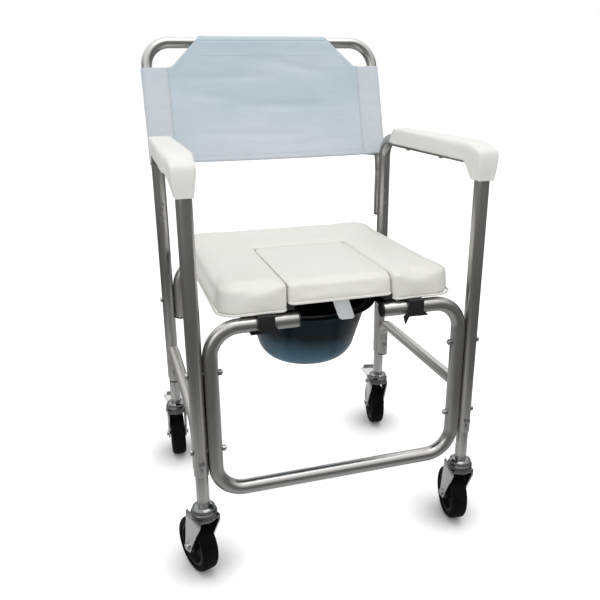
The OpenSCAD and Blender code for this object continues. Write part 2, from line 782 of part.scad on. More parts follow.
module seat_clip_screws() {
    color("dimgray") at_clip_screws() translate([0, 0, board_h - clip_roof])
        screw_up(clip_roof + screw_bite - contact_gap);
}

// Pail on two rails: straps under the front frame and the crossbar, with a channel for the pail's rim

module pail_rail(side) {
    length = leg_depth + 2 * rail_end;
    color("dimgray") mirror([side > 0 ? 0 : 1, 0, 0]) difference() {
        translate([rail_x, rear_y + rail_end, rail_top_h]) rotate([90, 0, 0]) {
            linear_extrude(length) translate([0, -rail_t]) square([rail_t + rail_flange, rail_t]);
            linear_extrude(length - rail_end - rail_setback) {
                translate([0, -rail_drop]) square([rail_t, rail_drop]);
                translate([-rail_lip, -rail_drop]) square([rail_lip + rail_t, rail_t]);
            }
        }
        for (y = [front_y, rear_y]) translate([rail_screw_x, y, rail_top_h - rail_t - over])
            cylinder(d = screw_hole_d, h = rail_t + 2 * over);
    }
}

module pail_rail_screws() {
    color("dimgray") for (side = [-1, 1], y = [front_y, rear_y])
        translate([side * rail_screw_x, y, rail_top_h - rail_t]) screw_up(rail_t + screw_bite);
}

// Half section of the bowl, from the middle of its floor up its wall
function bowl(r, base_r, depth, round_r) = let (lean = atan2(r - base_r, depth))
    concat([[0, 0]], arc([base_r - round_r, round_r], round_r, -90, -lean), [[r, depth], [0, depth]]);

module pail() {
    color("darkslategray") translate([0, pail_center_y, rim_low_h + rim_t - pail_depth])
        rotate_extrude() difference() {
            union() {
                polygon(bowl(pail_r, pail_base_r, pail_depth, pail_round_r));
                translate([0, pail_depth - rim_t]) square([rim_r - rim_t / 2, rim_t]);
                translate([rim_r - rim_t / 2, pail_depth - rim_t / 2]) circle(d = rim_t);
            }
            translate([0, pail_wall]) polygon(bowl(pail_r - pail_wall, pail_base_r - pail_wall,
                pail_depth + over, pail_round_r - pail_wall));
        }
}

// Casters

function corner_point(i) = [(i % 2 == 0 ? -1 : 1) * leg_x, i < 2 ? front_y : rear_y, 0];

module at_leg(i) {
    translate(corner_point(i)) children();
}

// Turns its children by the caster's swivel, with the wheel trailing toward +Y
module at_caster(i) {
    at_leg(i) rotate(-swivels[i]) children();
}

module caster_race(i) {
    stem_d = tube_d - 4 * tube_wall - 4 * contact_gap;
    color("lightgray") at_leg(i) {
        translate([0, 0, caster_h - race_t]) cylinder(d = race_d, h = race_t - race_step);
        translate([0, 0, caster_h - race_step]) cylinder(d1 = race_d, d2 = race_neck_d, h = race_step);
        translate([0, 0, caster_h]) cylinder(d = stem_d, h = stem_len);
        translate([0, 0, crown_h - slide_gap - over]) cylinder(d = kingpin_d, h = caster_h - crown_h);
        translate([0, 0, crown_h - slide_gap - kingpin_head_h])
            cylinder(d = kingpin_head_d, h = kingpin_head_h);
    }
}

module fork_arm_outline(ear) {
    eye = [trail, wheel_r];
    polygon([[-fork_front, crown_h + fork_crown_t], [fork_back, crown_h + fork_crown_t],
        eye + [fork_eye_r, 0], eye - [fork_eye_r, 0], [-fork_front, crown_h - fork_crown_t]]);
    translate(eye) circle(fork_eye_r);
    if (ear) translate([pedal_pivot_y, pedal_pivot_h]) circle(pedal_lug_r + fork_t);
}

module caster_fork(i) {
    braked = i > 1;
    color("gainsboro") at_caster(i) difference() {
        union() {
            for (side = [0, 1]) mirror([side, 0, 0]) translate([fork_in, 0, 0]) rotate([90, 0, 90])
                linear_extrude(fork_t) fork_arm_outline(braked);
            translate([-fork_out, -fork_front, crown_h]) cube([2 * fork_out, 2 * fork_front, fork_crown_t]);
            translate([0, 0, crown_h]) cylinder(d = lower_race_d, h = lower_race_t - lower_race_bevel);
            translate([0, 0, lower_race_top_h - lower_race_bevel])
                cylinder(d1 = lower_race_d, d2 = lower_race_d - 2 * lower_race_bevel, h = lower_race_bevel);
        }
        translate([0, 0, crown_h - over]) cylinder(d = kingpin_d + 2 * turn_gap, h = lower_race_top_h);
        translate([0, trail, wheel_r]) hole_x(axle_d + 2 * contact_gap, 2 * fork_out + over);
        if (braked) translate([0, pedal_pivot_y, pedal_pivot_h])
            hole_x(pedal_pin_d + 2 * contact_gap, 2 * fork_out + over);
    }
}

module caster_axle(i) {
    color("lightgray") at_caster(i) translate([0, trail, wheel_r]) rotate([0, 90, 0]) {
        cylinder(d = axle_d, h = 2 * fork_out + over, center = true);
        translate([0, 0, fork_out]) cylinder(d = axle_head_d, h = axle_head_h, $fn = 6);
        translate([0, 0, -fork_out - axle_head_h]) cylinder(d = axle_head_d, h = axle_head_h);
    }
}

module wheel_tyre(i) {
    color("black") at_caster(i) translate([0, trail, wheel_r]) rotate([0, 90, 0]) rotate_extrude()
        intersection() {
            rounded_rect([0, -tyre_w / 2], [wheel_r, tyre_w / 2], tyre_shoulder_r);
            translate([hub_r + contact_gap, -tyre_w / 2]) square([tyre_t, tyre_w]);
        }
}

module wheel_hub(i) {
    color("dimgray") at_caster(i) translate([0, trail, wheel_r]) rotate([0, 90, 0]) rotate_extrude() {
        translate([axle_d / 2 + turn_gap, -tyre_w / 2]) square([hub_boss_r, tyre_w]);
        translate([axle_d / 2 + turn_gap, -hub_web / 2]) square([hub_r - axle_d / 2 - turn_gap, hub_web]);
        translate([hub_r - hub_rim, -hub_w / 2]) square([hub_rim, hub_w]);
    }
}

module pedal_plan() {
    neck = pedal_neck_w / 2;
    flare = pedal_flare_w / 2;
    polygon([[-neck, 0], [-neck, pedal_neck_l], [-flare, pedal_l - pedal_lip_h],
        [-flare + pedal_lip_h, pedal_l], [flare - pedal_lip_h, pedal_l], [flare, pedal_l - pedal_lip_h],
        [neck, pedal_neck_l], [neck, 0]]);
}

module brake_pedal(i) {
    color("silver") at_caster(i) translate([0, pedal_pivot_y, pedal_pivot_h])
        rotate([pedal_lift, 0, 0]) difference() {
            union() {
                translate([0, 0, -pedal_t / 2]) linear_extrude(pedal_t) pedal_plan();
                rotate([0, 90, 0]) cylinder(r = pedal_lug_r, h = pedal_neck_w, center = true);
                translate([-pedal_flare_w / 2 + pedal_lip_h, pedal_l - pedal_t, -pedal_t / 2])
                    cube([pedal_flare_w - 2 * pedal_lip_h, pedal_t, pedal_lip_h]);
            }
            hole_x(pedal_pin_d + 2 * turn_gap, pedal_neck_w + over);
        }
}

module brake_pin(i) {
    color("lightgray") at_caster(i) translate([0, pedal_pivot_y, pedal_pivot_h]) rotate([0, 90, 0]) {
        cylinder(d = pedal_pin_d, h = 2 * fork_out + over, center = true);
        for (end = [0, 1]) mirror([0, 0, end]) translate([0, 0, fork_out])
            cylinder(d = 2 * pedal_lug_r, h = fork_t);
    }
}

side_frame(-1);  // side_frame_left
side_frame(1);  // side_frame_right
front_frame();
back_frame();
rear_crossbar();
stretcher(-1);  // stretcher_left
stretcher(1);  // stretcher_right
front_frame_bolts();
back_frame_bolts();
crossbar_bolts();
stretcher_bolts();
front_frame_plugs();
frame_plugs();
arm_pad(-1);  // arm_pad_left
arm_pad(1);  // arm_pad_right
arm_pad_screws();
back_sling();
seat_board();
seat_cushion();
insert_board();
insert_cushion();
insert_tab();
seat_clip_front(-1);  // seat_clip_fl
seat_clip_front(1);  // seat_clip_fr
seat_clip_rear(-1);  // seat_clip_rl
seat_clip_rear(1);  // seat_clip_rr
seat_clip_screws();
pail_rail(-1);  // pail_rail_left
pail_rail(1);  // pail_rail_right
pail_rail_screws();
pail();
for (i = [0 : 3]) {
    leg_tube(i);
    caster_race(i);
    caster_fork(i);
    caster_axle(i);
    wheel_tyre(i);
    wheel_hub(i);
}
for (i = [2, 3]) {
    brake_pedal(i);
    brake_pin(i);
}
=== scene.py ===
"""Looks of a wheeled shower commode chair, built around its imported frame.

Metres. X to the right, Y to the back, Z up, floor at zero. The chair faces -Y, and left and right are
as seen from the front.
"""

import json
import math

import bpy
import numpy as np
from mathutils import Matrix, Vector, noise


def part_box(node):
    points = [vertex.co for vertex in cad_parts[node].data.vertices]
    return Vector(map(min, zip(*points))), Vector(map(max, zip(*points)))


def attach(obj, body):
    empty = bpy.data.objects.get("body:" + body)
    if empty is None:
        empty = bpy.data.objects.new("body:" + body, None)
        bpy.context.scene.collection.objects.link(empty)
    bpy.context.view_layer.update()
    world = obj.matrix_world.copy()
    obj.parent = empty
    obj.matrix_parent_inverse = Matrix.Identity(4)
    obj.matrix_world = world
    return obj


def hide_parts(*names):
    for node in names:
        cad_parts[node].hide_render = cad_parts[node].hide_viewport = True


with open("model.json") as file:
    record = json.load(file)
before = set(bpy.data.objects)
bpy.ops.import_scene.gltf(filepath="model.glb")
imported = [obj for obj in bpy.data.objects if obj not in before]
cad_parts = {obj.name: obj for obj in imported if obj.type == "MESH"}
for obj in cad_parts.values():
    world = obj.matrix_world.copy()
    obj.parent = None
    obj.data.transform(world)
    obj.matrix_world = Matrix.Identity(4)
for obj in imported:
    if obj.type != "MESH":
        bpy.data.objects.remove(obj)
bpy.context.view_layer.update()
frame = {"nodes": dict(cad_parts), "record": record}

MM = 0.001
TINY = 1e-9
SCENE = bpy.context.scene

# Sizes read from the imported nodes
side_low, side_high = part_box("side_frame_right")
back_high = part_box("back_frame")[1]
seat_low, seat_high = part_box("seat_cushion")
insert_low, insert_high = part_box("insert_cushion")
pail_low, pail_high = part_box("pail")
sling_low, sling_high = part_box("back_sling")
fork_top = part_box("caster_fork_fl")[1].z
LEG_X = (side_low.x + side_high.x) / 2
TUBE_R = (side_high.x - side_low.x) / 2
MID_Y = (side_low.y + side_high.y) / 2
BRACE_R = back_high.x - LEG_X
TOP_BAR_Y = back_high.y - BRACE_R
TOP_BAR_Z = back_high.z - BRACE_R

# Viewpoint of the photograph
VIEW_YAW = math.radians(16.5)
VIEW_PITCH = math.radians(18.8)
VIEW_ROLL = math.radians(-0.54)
VIEW_FROM_MID = Vector((-0.365, -1.195, 0.857))
FOCAL_PX = 666
IMAGE_PX = 600
SENSOR_MM = 36


# Material helpers

# A wave texture of scale 1 turns through this many radians in a metre
WAVE_RADIANS = 20


def linked(tree, kind, inputs=(), **settings):
    """A new node of a tree, with its settings and its input values or links."""
    made = tree.nodes.new("ShaderNode" + kind)
    for key, value in settings.items():
        setattr(made, key, value)
    for key, value in dict(inputs).items():
        if isinstance(value, bpy.types.NodeSocket):
            tree.links.new(value, made.inputs[key])
        else:
            made.inputs[key].default_value = value
    return made


class Shader:
    """A Principled material and the procedural nodes that feed it."""

    def __init__(self, name, metallic=0.0, **constants):
        self.material = bpy.data.materials.new(name)
        self.material.use_nodes = True
        self.tree = self.material.node_tree
        self.bsdf = self.tree.nodes["Principled BSDF"]
        self.bsdf.inputs["Metallic"].default_value = metallic
        for socket, value in constants.items():
            self.bsdf.inputs[socket.replace("_", " ")].default_value = value
        self.place = self.tree.nodes.new("ShaderNodeTexCoord").outputs["Object"]
        self.last_normal = None

    def node(self, kind, inputs=(), **settings):
        return linked(self.tree, kind, inputs, **settings)

    def feed(self, socket, value):
        self.tree.links.new(value, self.bsdf.inputs[socket])

    def height(self):
        """Height above the floor, with the chair at rest."""
        return self.node("SeparateXYZ", {"Vector": self.place}).outputs["Z"]

    def noise(self, scale, detail=3.0, stretch=None, rough=0.5):
        """Cloudy noise, drawn out along the axes whose stretch factor is below 1."""
        place = self.place
        if stretch is not None:
            place = self.node("Mapping", {"Vector": place, "Scale": stretch}).outputs["Vector"]
        inputs = {"Vector": place, "Scale": scale, "Detail": detail, "Roughness": rough}
        return self.node("TexNoise", inputs).outputs["Fac"]

    def cells(self, scale, output="Distance"):
        return self.node("TexVoronoi", {"Vector": self.place, "Scale": scale}).outputs[output]

    def threads(self, axis, pitch):
        """Parallel round threads across one axis, from 0 to 1."""
        inputs = {"Vector": self.place, "Scale": math.tau / WAVE_RADIANS / pitch}
        return self.node("TexWave", inputs, wave_type="BANDS", bands_direction=axis).outputs["Fac"]

    def combined(self, operation, a, b):
        return self.node("Math", {0: a, 1: b}, operation=operation).outputs[0]

    def spread(self, value, low, high, start=0.0, end=1.0):
        """Maps the range from start to end on to the range from low to high."""
        made = self.node("MapRange", {"Value": value, "From Min": start, "From Max": end,
                                      "To Min": low, "To Max": high})
        return made.outputs["Result"]

    def mix(self, factor, first, second):
        made = self.node("Mix", {}, data_type="RGBA")
        for index, value in ((0, factor), (6, first), (7, second)):
            if isinstance(value, bpy.types.NodeSocket):
                self.tree.links.new(value, made.inputs[index])
            else:
                made.inputs[index].default_value = value
        return made.outputs[2]

    def bump(self, height, distance, strength=1.0):
        """Adds a relief on top of those that the material has."""
        inputs = {"Height": height, "Distance": distance, "Strength": strength}
        if self.last_normal is not None:
            inputs["Normal"] = self.last_normal
        self.last_normal = self.node("Bump", inputs).outputs["Normal"]
        self.feed("Normal", self.last_normal)


def rgb(red, green, blue):
    return (red, green, blue, 1.0)


def shade(colour, factor):
    return rgb(*[channel * factor for channel in colour[:3]])


# Materials, one for each slot of the record and a few for single pieces

# Depths of the surface reliefs
TUBE_GRAIN = 0.02 * MM
TUBE_WAVE = 0.03 * MM
ZINC_WAVE = 0.05 * MM
PLASTIC_GRAIN = 0.05 * MM
THREAD_GRAIN = 0.2 * MM
PAIL_RIPPLE = 0.5 * MM
PAIL_GRAIN = 0.02 * MM
FOAM_PEBBLE = 0.12 * MM
FOAM_WAVE = 0.25 * MM
VINYL_PEBBLE = 0.1 * MM
VINYL_CREASE = 0.7 * MM
WEAVE_RELIEF = 0.12 * MM
CLOTH_WAVE = 0.5 * MM
BOARD_GRAIN = 0.1 * MM
TAPE_RELIEF = 0.15 * MM
RUBBER_GRAIN = 0.08 * MM

# Pitches of the threads in the cloth and the tape
WEAVE_PITCH = 1.1 * MM
TAPE_RIB_PITCH = 1.6 * MM
TAPE_THREAD_PITCH = 0.9 * MM

# Grease on the forks: how far below their tops it sets in and is full, and how ragged its edge is
GREASE_REACH = 24 * MM
GREASE_FULL = 12 * MM
GREASE_EDGE = 3 * MM

TUBE_BLOTCH = 0.06
RUBBER_DUST = rgb(0.009, 0.009, 0.0088)
SLING_BLUE = rgb(0.505, 0.61, 0.668)
# Paler sling colour toward its lower edge: painted bounce light from the seat
SLING_BOUNCE_LIT = rgb(0.66, 0.712, 0.78)
SLEEVE_GREY = rgb(0.60, 0.655, 0.71)
# Paler sleeve colour toward its lower edge: painted bounce light from the seat
SLEEVE_BOUNCE_LIT = rgb(0.66, 0.70, 0.745)
SEAT_WHITE = rgb(0.80, 0.795, 0.765)
PAIL_DARK = rgb(0.002, 0.009, 0.013)
# Painted reflection of the floor: a paler blue on the lower part of the pail
PAIL_FLOOR_GLOW = rgb(0.105, 0.205, 0.29)


def drawn_metal(name, colour, rough_low, rough_high):
    """Tube metal with a fine upright grain and a faint cloudy anodised tone."""
    shader = Shader(name, metallic=1.0)
    cloud = shader.noise(scale=11.0, detail=4.0)
    grain = shader.noise(scale=420.0, detail=2.0, stretch=(1.0, 1.0, 0.06))
    tone = shader.mix(cloud, shade(colour, 1 - TUBE_BLOTCH), shade(colour, 1 + TUBE_BLOTCH))
    shader.feed("Base Color", tone)
    rough = shader.combined("ADD", shader.spread(cloud, rough_low, rough_high),
                            shader.spread(grain, -0.03, 0.03))
    shader.feed("Roughness", rough)
    shader.bump(grain, TUBE_GRAIN)
    shader.bump(shader.noise(scale=60.0, detail=2.0), TUBE_WAVE)
    return shader.material


def plated_metal(name, colour, rough_low, rough_high, greasy=None):
    """Bright zinc with a soft spangle and pale patches.

    Grease, if any, sets in at the first of two heights and is full from the second up.
    """
    shader = Shader(name, metallic=1.0)
    spangle = shader.cells(scale=240.0, output="Color")
    tone = shader.noise(scale=38.0, detail=4.0)
    base = shader.mix(tone, shade(colour, 0.86), shade(colour, 1.08))
    patches = shader.spread(shader.noise(scale=15.0), 0.0, 0.22, 0.45, 0.7)
    base = shader.mix(patches, base, shade(colour, 1.1))
    if greasy is not None:
        height = shader.combined("ADD", shader.height(), shader.spread(tone, -GREASE_EDGE, GREASE_EDGE))
        base = shader.mix(shader.spread(height, 0.0, 1.0, *greasy), base, shade(colour, 0.2))
    shader.feed("Base Color", base)
    bright = shader.node("SeparateColor", {"Color": spangle}).outputs["Red"]
    rough = shader.combined("ADD", shader.spread(tone, rough_low, rough_high),
                            shader.spread(bright, -0.03, 0.03))
    shader.feed("Roughness", rough)
    shader.bump(shader.noise(scale=160.0, detail=3.0), ZINC_WAVE)
    return shader.material


def moulded_plastic(name, colour, rough_low, rough_high, grain=PLASTIC_GRAIN, specular=0.5):
    """Injection-moulded plastic with a spark-eroded grain."""
    shader = Shader(name, Specular_IOR_Level=specular)
    cloud = shader.noise(scale=24.0, detail=4.0)
    shader.feed("Base Color", shader.mix(cloud, shade(colour, 0.86), shade(colour, 1.14)))
    shader.feed("Roughness", shader.spread(cloud, rough_low, rough_high))
    shader.bump(shader.noise(scale=900.0, detail=2.0), grain)
    return shader.material


def gloss_plastic(name, colour, floor_glow, low, high):
    """Glossy blow-moulded plastic with a slow ripple in its skin, and a painted reflection of the floor
    that makes it paler and bluer toward its base.
    """
    shader = Shader(name, Specular_IOR_Level=0.16, Coat_Weight=0.05, Coat_Roughness=0.12)
    cloud = shader.spread(shader.noise(scale=9.0, detail=3.0), -0.12, 0.12, 0.3, 0.7)
    height = shader.combined("ADD", shader.spread(shader.height(), 0.0, 1.0, low, high), cloud)
    # Painted floor reflection: the dark colour turns to the paler glow toward the bottom
    shader.feed("Base Color", shader.mix(shader.spread(height, 0.0, 1.0, 0.0, 0.62), floor_glow, colour))
    shader.feed("Roughness", shader.spread(shader.noise(scale=30.0, detail=3.0), 0.2, 0.3))
    shader.bump(shader.noise(scale=16.0, detail=2.0), PAIL_RIPPLE, 0.5)
    shader.bump(shader.noise(scale=700.0, detail=2.0), PAIL_GRAIN)
    return shader.material


def foam_skin(name, colour):
    """White integral-skin foam with a fine leather grain and faintly greyer clouds."""
    shader = Shader(name, Specular_IOR_Level=0.42, Sheen_Weight=0.06)
    cloud = shader.noise(scale=17.0, detail=5.0)
    shader.feed("Base Color", shader.mix(cloud, shade(colour, 0.93), shade(colour, 1.02)))
    shader.feed("Roughness", shader.spread(cloud, 0.42, 0.56))
    shader.bump(shader.cells(scale=620.0), FOAM_PEBBLE, 0.6)
    shader.bump(shader.noise(scale=45.0, detail=3.0), FOAM_WAVE, 0.5)
    return shader.material


def vinyl(name, colour):
    """Off-white upholstery vinyl: pebbled grain, soft creases and a satin surface."""
    shader = Shader(name, Specular_IOR_Level=0.45, Coat_Weight=0.06, Coat_Roughness=0.35)
    cloud = shader.noise(scale=7.0, detail=5.0)
    warm = shader.noise(scale=3.2, detail=2.0)
    yellowed = rgb(colour[0] * 1.01, colour[1], colour[2] * 0.965)
    tinted = shader.mix(warm, shade(colour, 0.965), yellowed)
    shader.feed("Base Color", shader.mix(shader.spread(cloud, 0.0, 1.0, 0.3, 0.7), tinted, colour))
    shader.feed("Roughness", shader.spread(cloud, 0.36, 0.5))
    shader.bump(shader.cells(scale=780.0), VINYL_PEBBLE, 0.6)
    shader.bump(shader.noise(scale=26.0, detail=4.0, rough=0.6), VINYL_CREASE, 0.45)
    return shader.material


def woven_nylon(name, colour, bounce_lit):
    """Coated nylon cloth in plain weave, with painted bounce light that makes it paler toward its lower
    edge, with slubs and a low sheen.
    """
    shader = Shader(name, Specular_IOR_Level=0.3, Sheen_Weight=0.22, Sheen_Roughness=0.45)
    warp = shader.threads("X", WEAVE_PITCH)
    weft = shader.threads("Z", WEAVE_PITCH)
    over = shader.combined("MULTIPLY", warp, weft)
    slub = shader.noise(scale=190.0, detail=2.0, stretch=(0.12, 1.0, 1.0))
    thread = shader.spread(shader.combined("ADD", over, slub), 0.0, 1.0, 0.3, 1.3)
    clouds = shader.noise(scale=7.0, detail=4.0, stretch=(0.6, 1.0, 1.7))
    height = shader.spread(shader.height(), 0.0, 1.0, sling_low.z, sling_high.z)
    ragged = shader.combined("ADD", height, shader.spread(clouds, -0.4, 0.4, 0.3, 0.7))
    # Painted bounce light: the cloth turns to its paler colour toward its lower edge
    above_bounce = shader.spread(ragged, 0.0, 1.0)
    cloth = shader.mix(above_bounce, bounce_lit, colour)
    gaps = shader.mix(above_bounce, shade(bounce_lit, 0.9), shade(colour, 0.9))
    shader.feed("Base Color", shader.mix(thread, gaps, cloth))
    shader.feed("Roughness", shader.spread(over, 0.62, 0.8))
    shader.bump(over, WEAVE_RELIEF, 0.7)
    shader.bump(shader.noise(scale=22.0, detail=4.0), CLOTH_WAVE, 0.4)
    return shader.material


def painted_board(name, colour):
    """Dark stained ply with a fine streaky grain."""
    shader = Shader(name, Specular_IOR_Level=0.35)
    streak = shader.noise(scale=120.0, detail=4.0, stretch=(0.06, 1.0, 1.0))
    shader.feed("Base Color", shader.mix(streak, shade(colour, 0.6), shade(colour, 1.6)))
    shader.feed("Roughness", shader.spread(streak, 0.5, 0.72))
    shader.bump(streak, BOARD_GRAIN)
    return shader.material


def webbing(name, colour):
    """Flat woven tape with ribs across its width."""
    shader = Shader(name, Specular_IOR_Level=0.3, Sheen_Weight=0.2)
    rib = shader.threads("Z", TAPE_RIB_PITCH)
    thread = shader.threads("X", TAPE_THREAD_PITCH)
    weave = shader.combined("MULTIPLY", rib, thread)
    shader.feed("Base Color", shader.mix(weave, shade(colour, 0.82), colour))
    shader.feed("Roughness", shader.spread(shader.noise(scale=40.0), 0.6, 0.8))
    shader.bump(shader.combined("ADD", rib, thread), TAPE_RELIEF, 0.8)
    return shader.material


def rubber(name, colour):
    """Black tyre rubber with a dusty bloom and fine scuffs."""
    shader = Shader(name, Specular_IOR_Level=0.05)
    dust = shader.noise(scale=34.0, detail=5.0, rough=0.65)
    dusty = shader.spread(dust, 0.0, 1.0, 0.42, 0.8)
    shader.feed("Base Color", shader.mix(dusty, colour, RUBBER_DUST))
    shader.feed("Roughness", shader.spread(dust, 0.4, 0.66))
    shader.bump(shader.noise(scale=300.0, detail=3.0), RUBBER_GRAIN)
    return shader.material


MATERIALS = {
    "tube": drawn_metal("satin_aluminium", rgb(0.505, 0.50, 0.487), 0.25, 0.35),
    "extension": drawn_metal("inner_tube_aluminium", rgb(0.60, 0.60, 0.59), 0.23, 0.32),
    "fastener": plated_metal("plated_fastener", rgb(0.50, 0.50, 0.50), 0.26, 0.38),
    "black_plastic": moulded_plastic("black_clip_plastic", rgb(0.012, 0.012, 0.014), 0.34, 0.5),
    "arm_pad": foam_skin("white_foam_skin", rgb(0.83, 0.825, 0.80)),
    "sling": woven_nylon("sling_nylon", SLING_BLUE, SLING_BOUNCE_LIT),
    "seat_vinyl": vinyl("seat_vinyl", SEAT_WHITE),
    "seat_board": painted_board("dark_ply", rgb(0.03, 0.028, 0.027)),
    "tab": webbing("tab_webbing", rgb(0.74, 0.76, 0.77)),
    "rail": moulded_plastic("black_painted_rail", rgb(0.03, 0.03, 0.033), 0.3, 0.42),
    "pail": gloss_plastic("pail_plastic", PAIL_DARK, PAIL_FLOOR_GLOW, pail_low.z, pail_high.z),
    "zinc": plated_metal("bright_zinc", rgb(0.52, 0.52, 0.51), 0.15, 0.27),
    "tyre": rubber("black_rubber", rgb(0.0028, 0.003, 0.0032)),
    "hub": moulded_plastic("black_hub", rgb(0.006, 0.006, 0.007), 0.3, 0.45, specular=0.2),
}
SLEEVE_CLOTH = woven_nylon("sleeve_nylon", SLEEVE_GREY, SLEEVE_BOUNCE_LIT)
BRACE_METAL = drawn_metal("brushed_aluminium", rgb(0.56, 0.552, 0.53), 0.36, 0.48)
RACE_METAL = plated_metal("dull_zinc", rgb(0.22, 0.225, 0.225), 0.06, 0.13)
FORK_METAL = plated_metal("fork_zinc", rgb(0.70, 0.70, 0.705), 0.15, 0.27,
                          greasy=(fork_top - GREASE_REACH, fork_top - GREASE_FULL))
THREAD = moulded_plastic("sewing_thread", rgb(0.70, 0.72, 0.74), 0.5, 0.7, grain=THREAD_GRAIN)


# Mesh helpers

FILLET_STEPS = 8
BEAD_STEPS = 3


def placed(name, data):
    """A new object of the scene."""
    made = bpy.data.objects.new(name, data)
    SCENE.collection.objects.link(made)
    return made


def mesh_of(name, points, faces):
    mesh = bpy.data.meshes.new(name)
    mesh.from_pydata([tuple(p) for p in points], [], [tuple(f) for f in faces])
    return mesh


def new_piece(name, points, faces, material, body):
    mesh = mesh_of(name, points, faces)
    mesh.validate()
    piece = placed(name, mesh)
    finish_piece(piece, material, body)
    return piece


def finish_piece(piece, material, body):
    piece.data.materials.clear()
    piece.data.materials.append(material)
    for polygon in piece.data.polygons:
        polygon.use_smooth = True
    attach(piece, body)


def grid_faces(rows, columns):
    """Quads between the points of a grid that is stored row by row."""
    lines = range(rows - 1)
    corners = [(i * columns + j, (i + 1) * columns + j) for i in lines for j in range(columns - 1)]
    return [(low, low + 1, high + 1, high) for low, high in corners]


def grid_place(index, count, half):
    """Place of a line among count even lines from -half to half."""
    return half * (2 * index / (count - 1) - 1)


def thicken(piece, thickness):
    """Gives a sheet a thickness, half of it on each side."""
    solid = piece.modifiers.new("Cloth thickness", "SOLIDIFY")
    solid.thickness = thickness
    solid.offset = 0.0


def refine(piece):
    subdivision = piece.modifiers.new("Subdivision", "SUBSURF")
    subdivision.levels = 1
    subdivision.render_levels = 1


def evaluated_mesh(piece):
    graph = bpy.context.evaluated_depsgraph_get()
    return bpy.data.meshes.new_from_object(piece.evaluated_get(graph))


def settle(piece):
    """Puts the result of a piece's modifiers into its mesh."""
    mesh = evaluated_mesh(piece)
    piece.modifiers.clear()
    piece.data = mesh


def positions(piece):
    flat = np.zeros(len(piece.data.vertices) * 3)
    piece.data.vertices.foreach_get("co", flat)
    return flat.reshape(-1, 3)


def set_positions(piece, points):
    piece.data.vertices.foreach_set("co", points.ravel())
    piece.data.update()


def ripple(x, y, z, depth, scale, seed):
    return depth * noise.noise(Vector((x * scale + seed, y * scale - seed, z * scale + 2 * seed)))


def filleted(corners):
    """A closed outline from (point, radius) corners, in the XY plane."""
    outline = []
    count = len(corners)
    for k, (point, radius) in enumerate(corners):
        before = (Vector(corners[k - 1][0]) - Vector(point)).normalized()
        after = (Vector(corners[(k + 1) % count][0]) - Vector(point)).normalized()
        half = before.angle(after) / 2
        centre = Vector(point) + (before + after).normalized() * radius / math.sin(half)
        first = Vector(point) + before * radius / math.tan(half)
        last = Vector(point) + after * radius / math.tan(half)
        start = math.atan2(*(first - centre).yx)
        turn = (first - centre).angle_signed(last - centre)
        outline += [centre + radius * Vector((math.cos(start - turn * s), math.sin(start - turn * s)))
                    for s in np.linspace(0, 1, FILLET_STEPS + 1)]
    return outline


def bead(name, path, radius, material, body):
    """A round bead along a closed path."""
    curve = bpy.data.curves.new(name, "CURVE")
    curve.dimensions = "3D"
    curve.bevel_depth = radius
    curve.bevel_resolution = BEAD_STEPS
    line = curve.splines.new("POLY")
    line.points.add(len(path) - 1)
    for point, place in zip(line.points, path):
        point.co = (*place, 1.0)
    line.use_cyclic_u = True
    drawn = placed(name, curve)
    mesh = evaluated_mesh(drawn)
    bpy.data.objects.remove(drawn)
    finish_piece(placed(name, mesh), material, body)


# Stitches: short lengths of thread that swell toward their middles

STITCH = 3.4 * MM
STITCH_GAP = 1.1 * MM
THREAD_R = 0.42 * MM
STITCH_SIDES = 6
STITCH_SHARES = (0.0, 0.18, 0.5, 0.82, 1.0)
STITCH_SWELLS = (0.15, 0.8, 1.0, 0.8, 0.15)


def stitch_row(name, path, body):
    """A row of short thread stitches along a path."""
    points, faces = [], []
    places = [Vector(p) for p in path]
    lengths = [0.0]
    for a, b in zip(places, places[1:]):
        lengths.append(lengths[-1] + (b - a).length)

    def at(distance):
        k = min(max(int(np.searchsorted(lengths, distance)), 1), len(places) - 1)
        share = (distance - lengths[k - 1]) / max(lengths[k] - lengths[k - 1], TINY)
        return places[k - 1].lerp(places[k], share)

    start = 0.0
    while start + STITCH < lengths[-1]:
        first, last = at(start), at(start + STITCH)
        along = (last - first).normalized()
        side = along.orthogonal().normalized()
        base = len(points)
        for share, swelling in zip(STITCH_SHARES, STITCH_SWELLS):
            for k in range(STITCH_SIDES):
                turn = Matrix.Rotation(math.tau * k / STITCH_SIDES, 3, along)
                points.append(first.lerp(last, share) + turn @ side * THREAD_R * swelling)
        rings = len(STITCH_SHARES)
        for i in range(rings - 1):
            for k in range(STITCH_SIDES):
                n = (k + 1) % STITCH_SIDES
                faces.append((base + i * STITCH_SIDES + k, base + i * STITCH_SIDES + n,
                              base + (i + 1) * STITCH_SIDES + n, base + (i + 1) * STITCH_SIDES + k))
        faces.append(tuple(base + k for k in reversed(range(STITCH_SIDES))))
        faces.append(tuple(base + (rings - 1) * STITCH_SIDES + k for k in range(STITCH_SIDES)))
        start += STITCH + STITCH_GAP
    return new_piece(name, points, faces, THREAD, body)


# Shaping of the padded pieces

CLOTH_PRESSURE = 4.0
CLOTH_FRAMES = 20


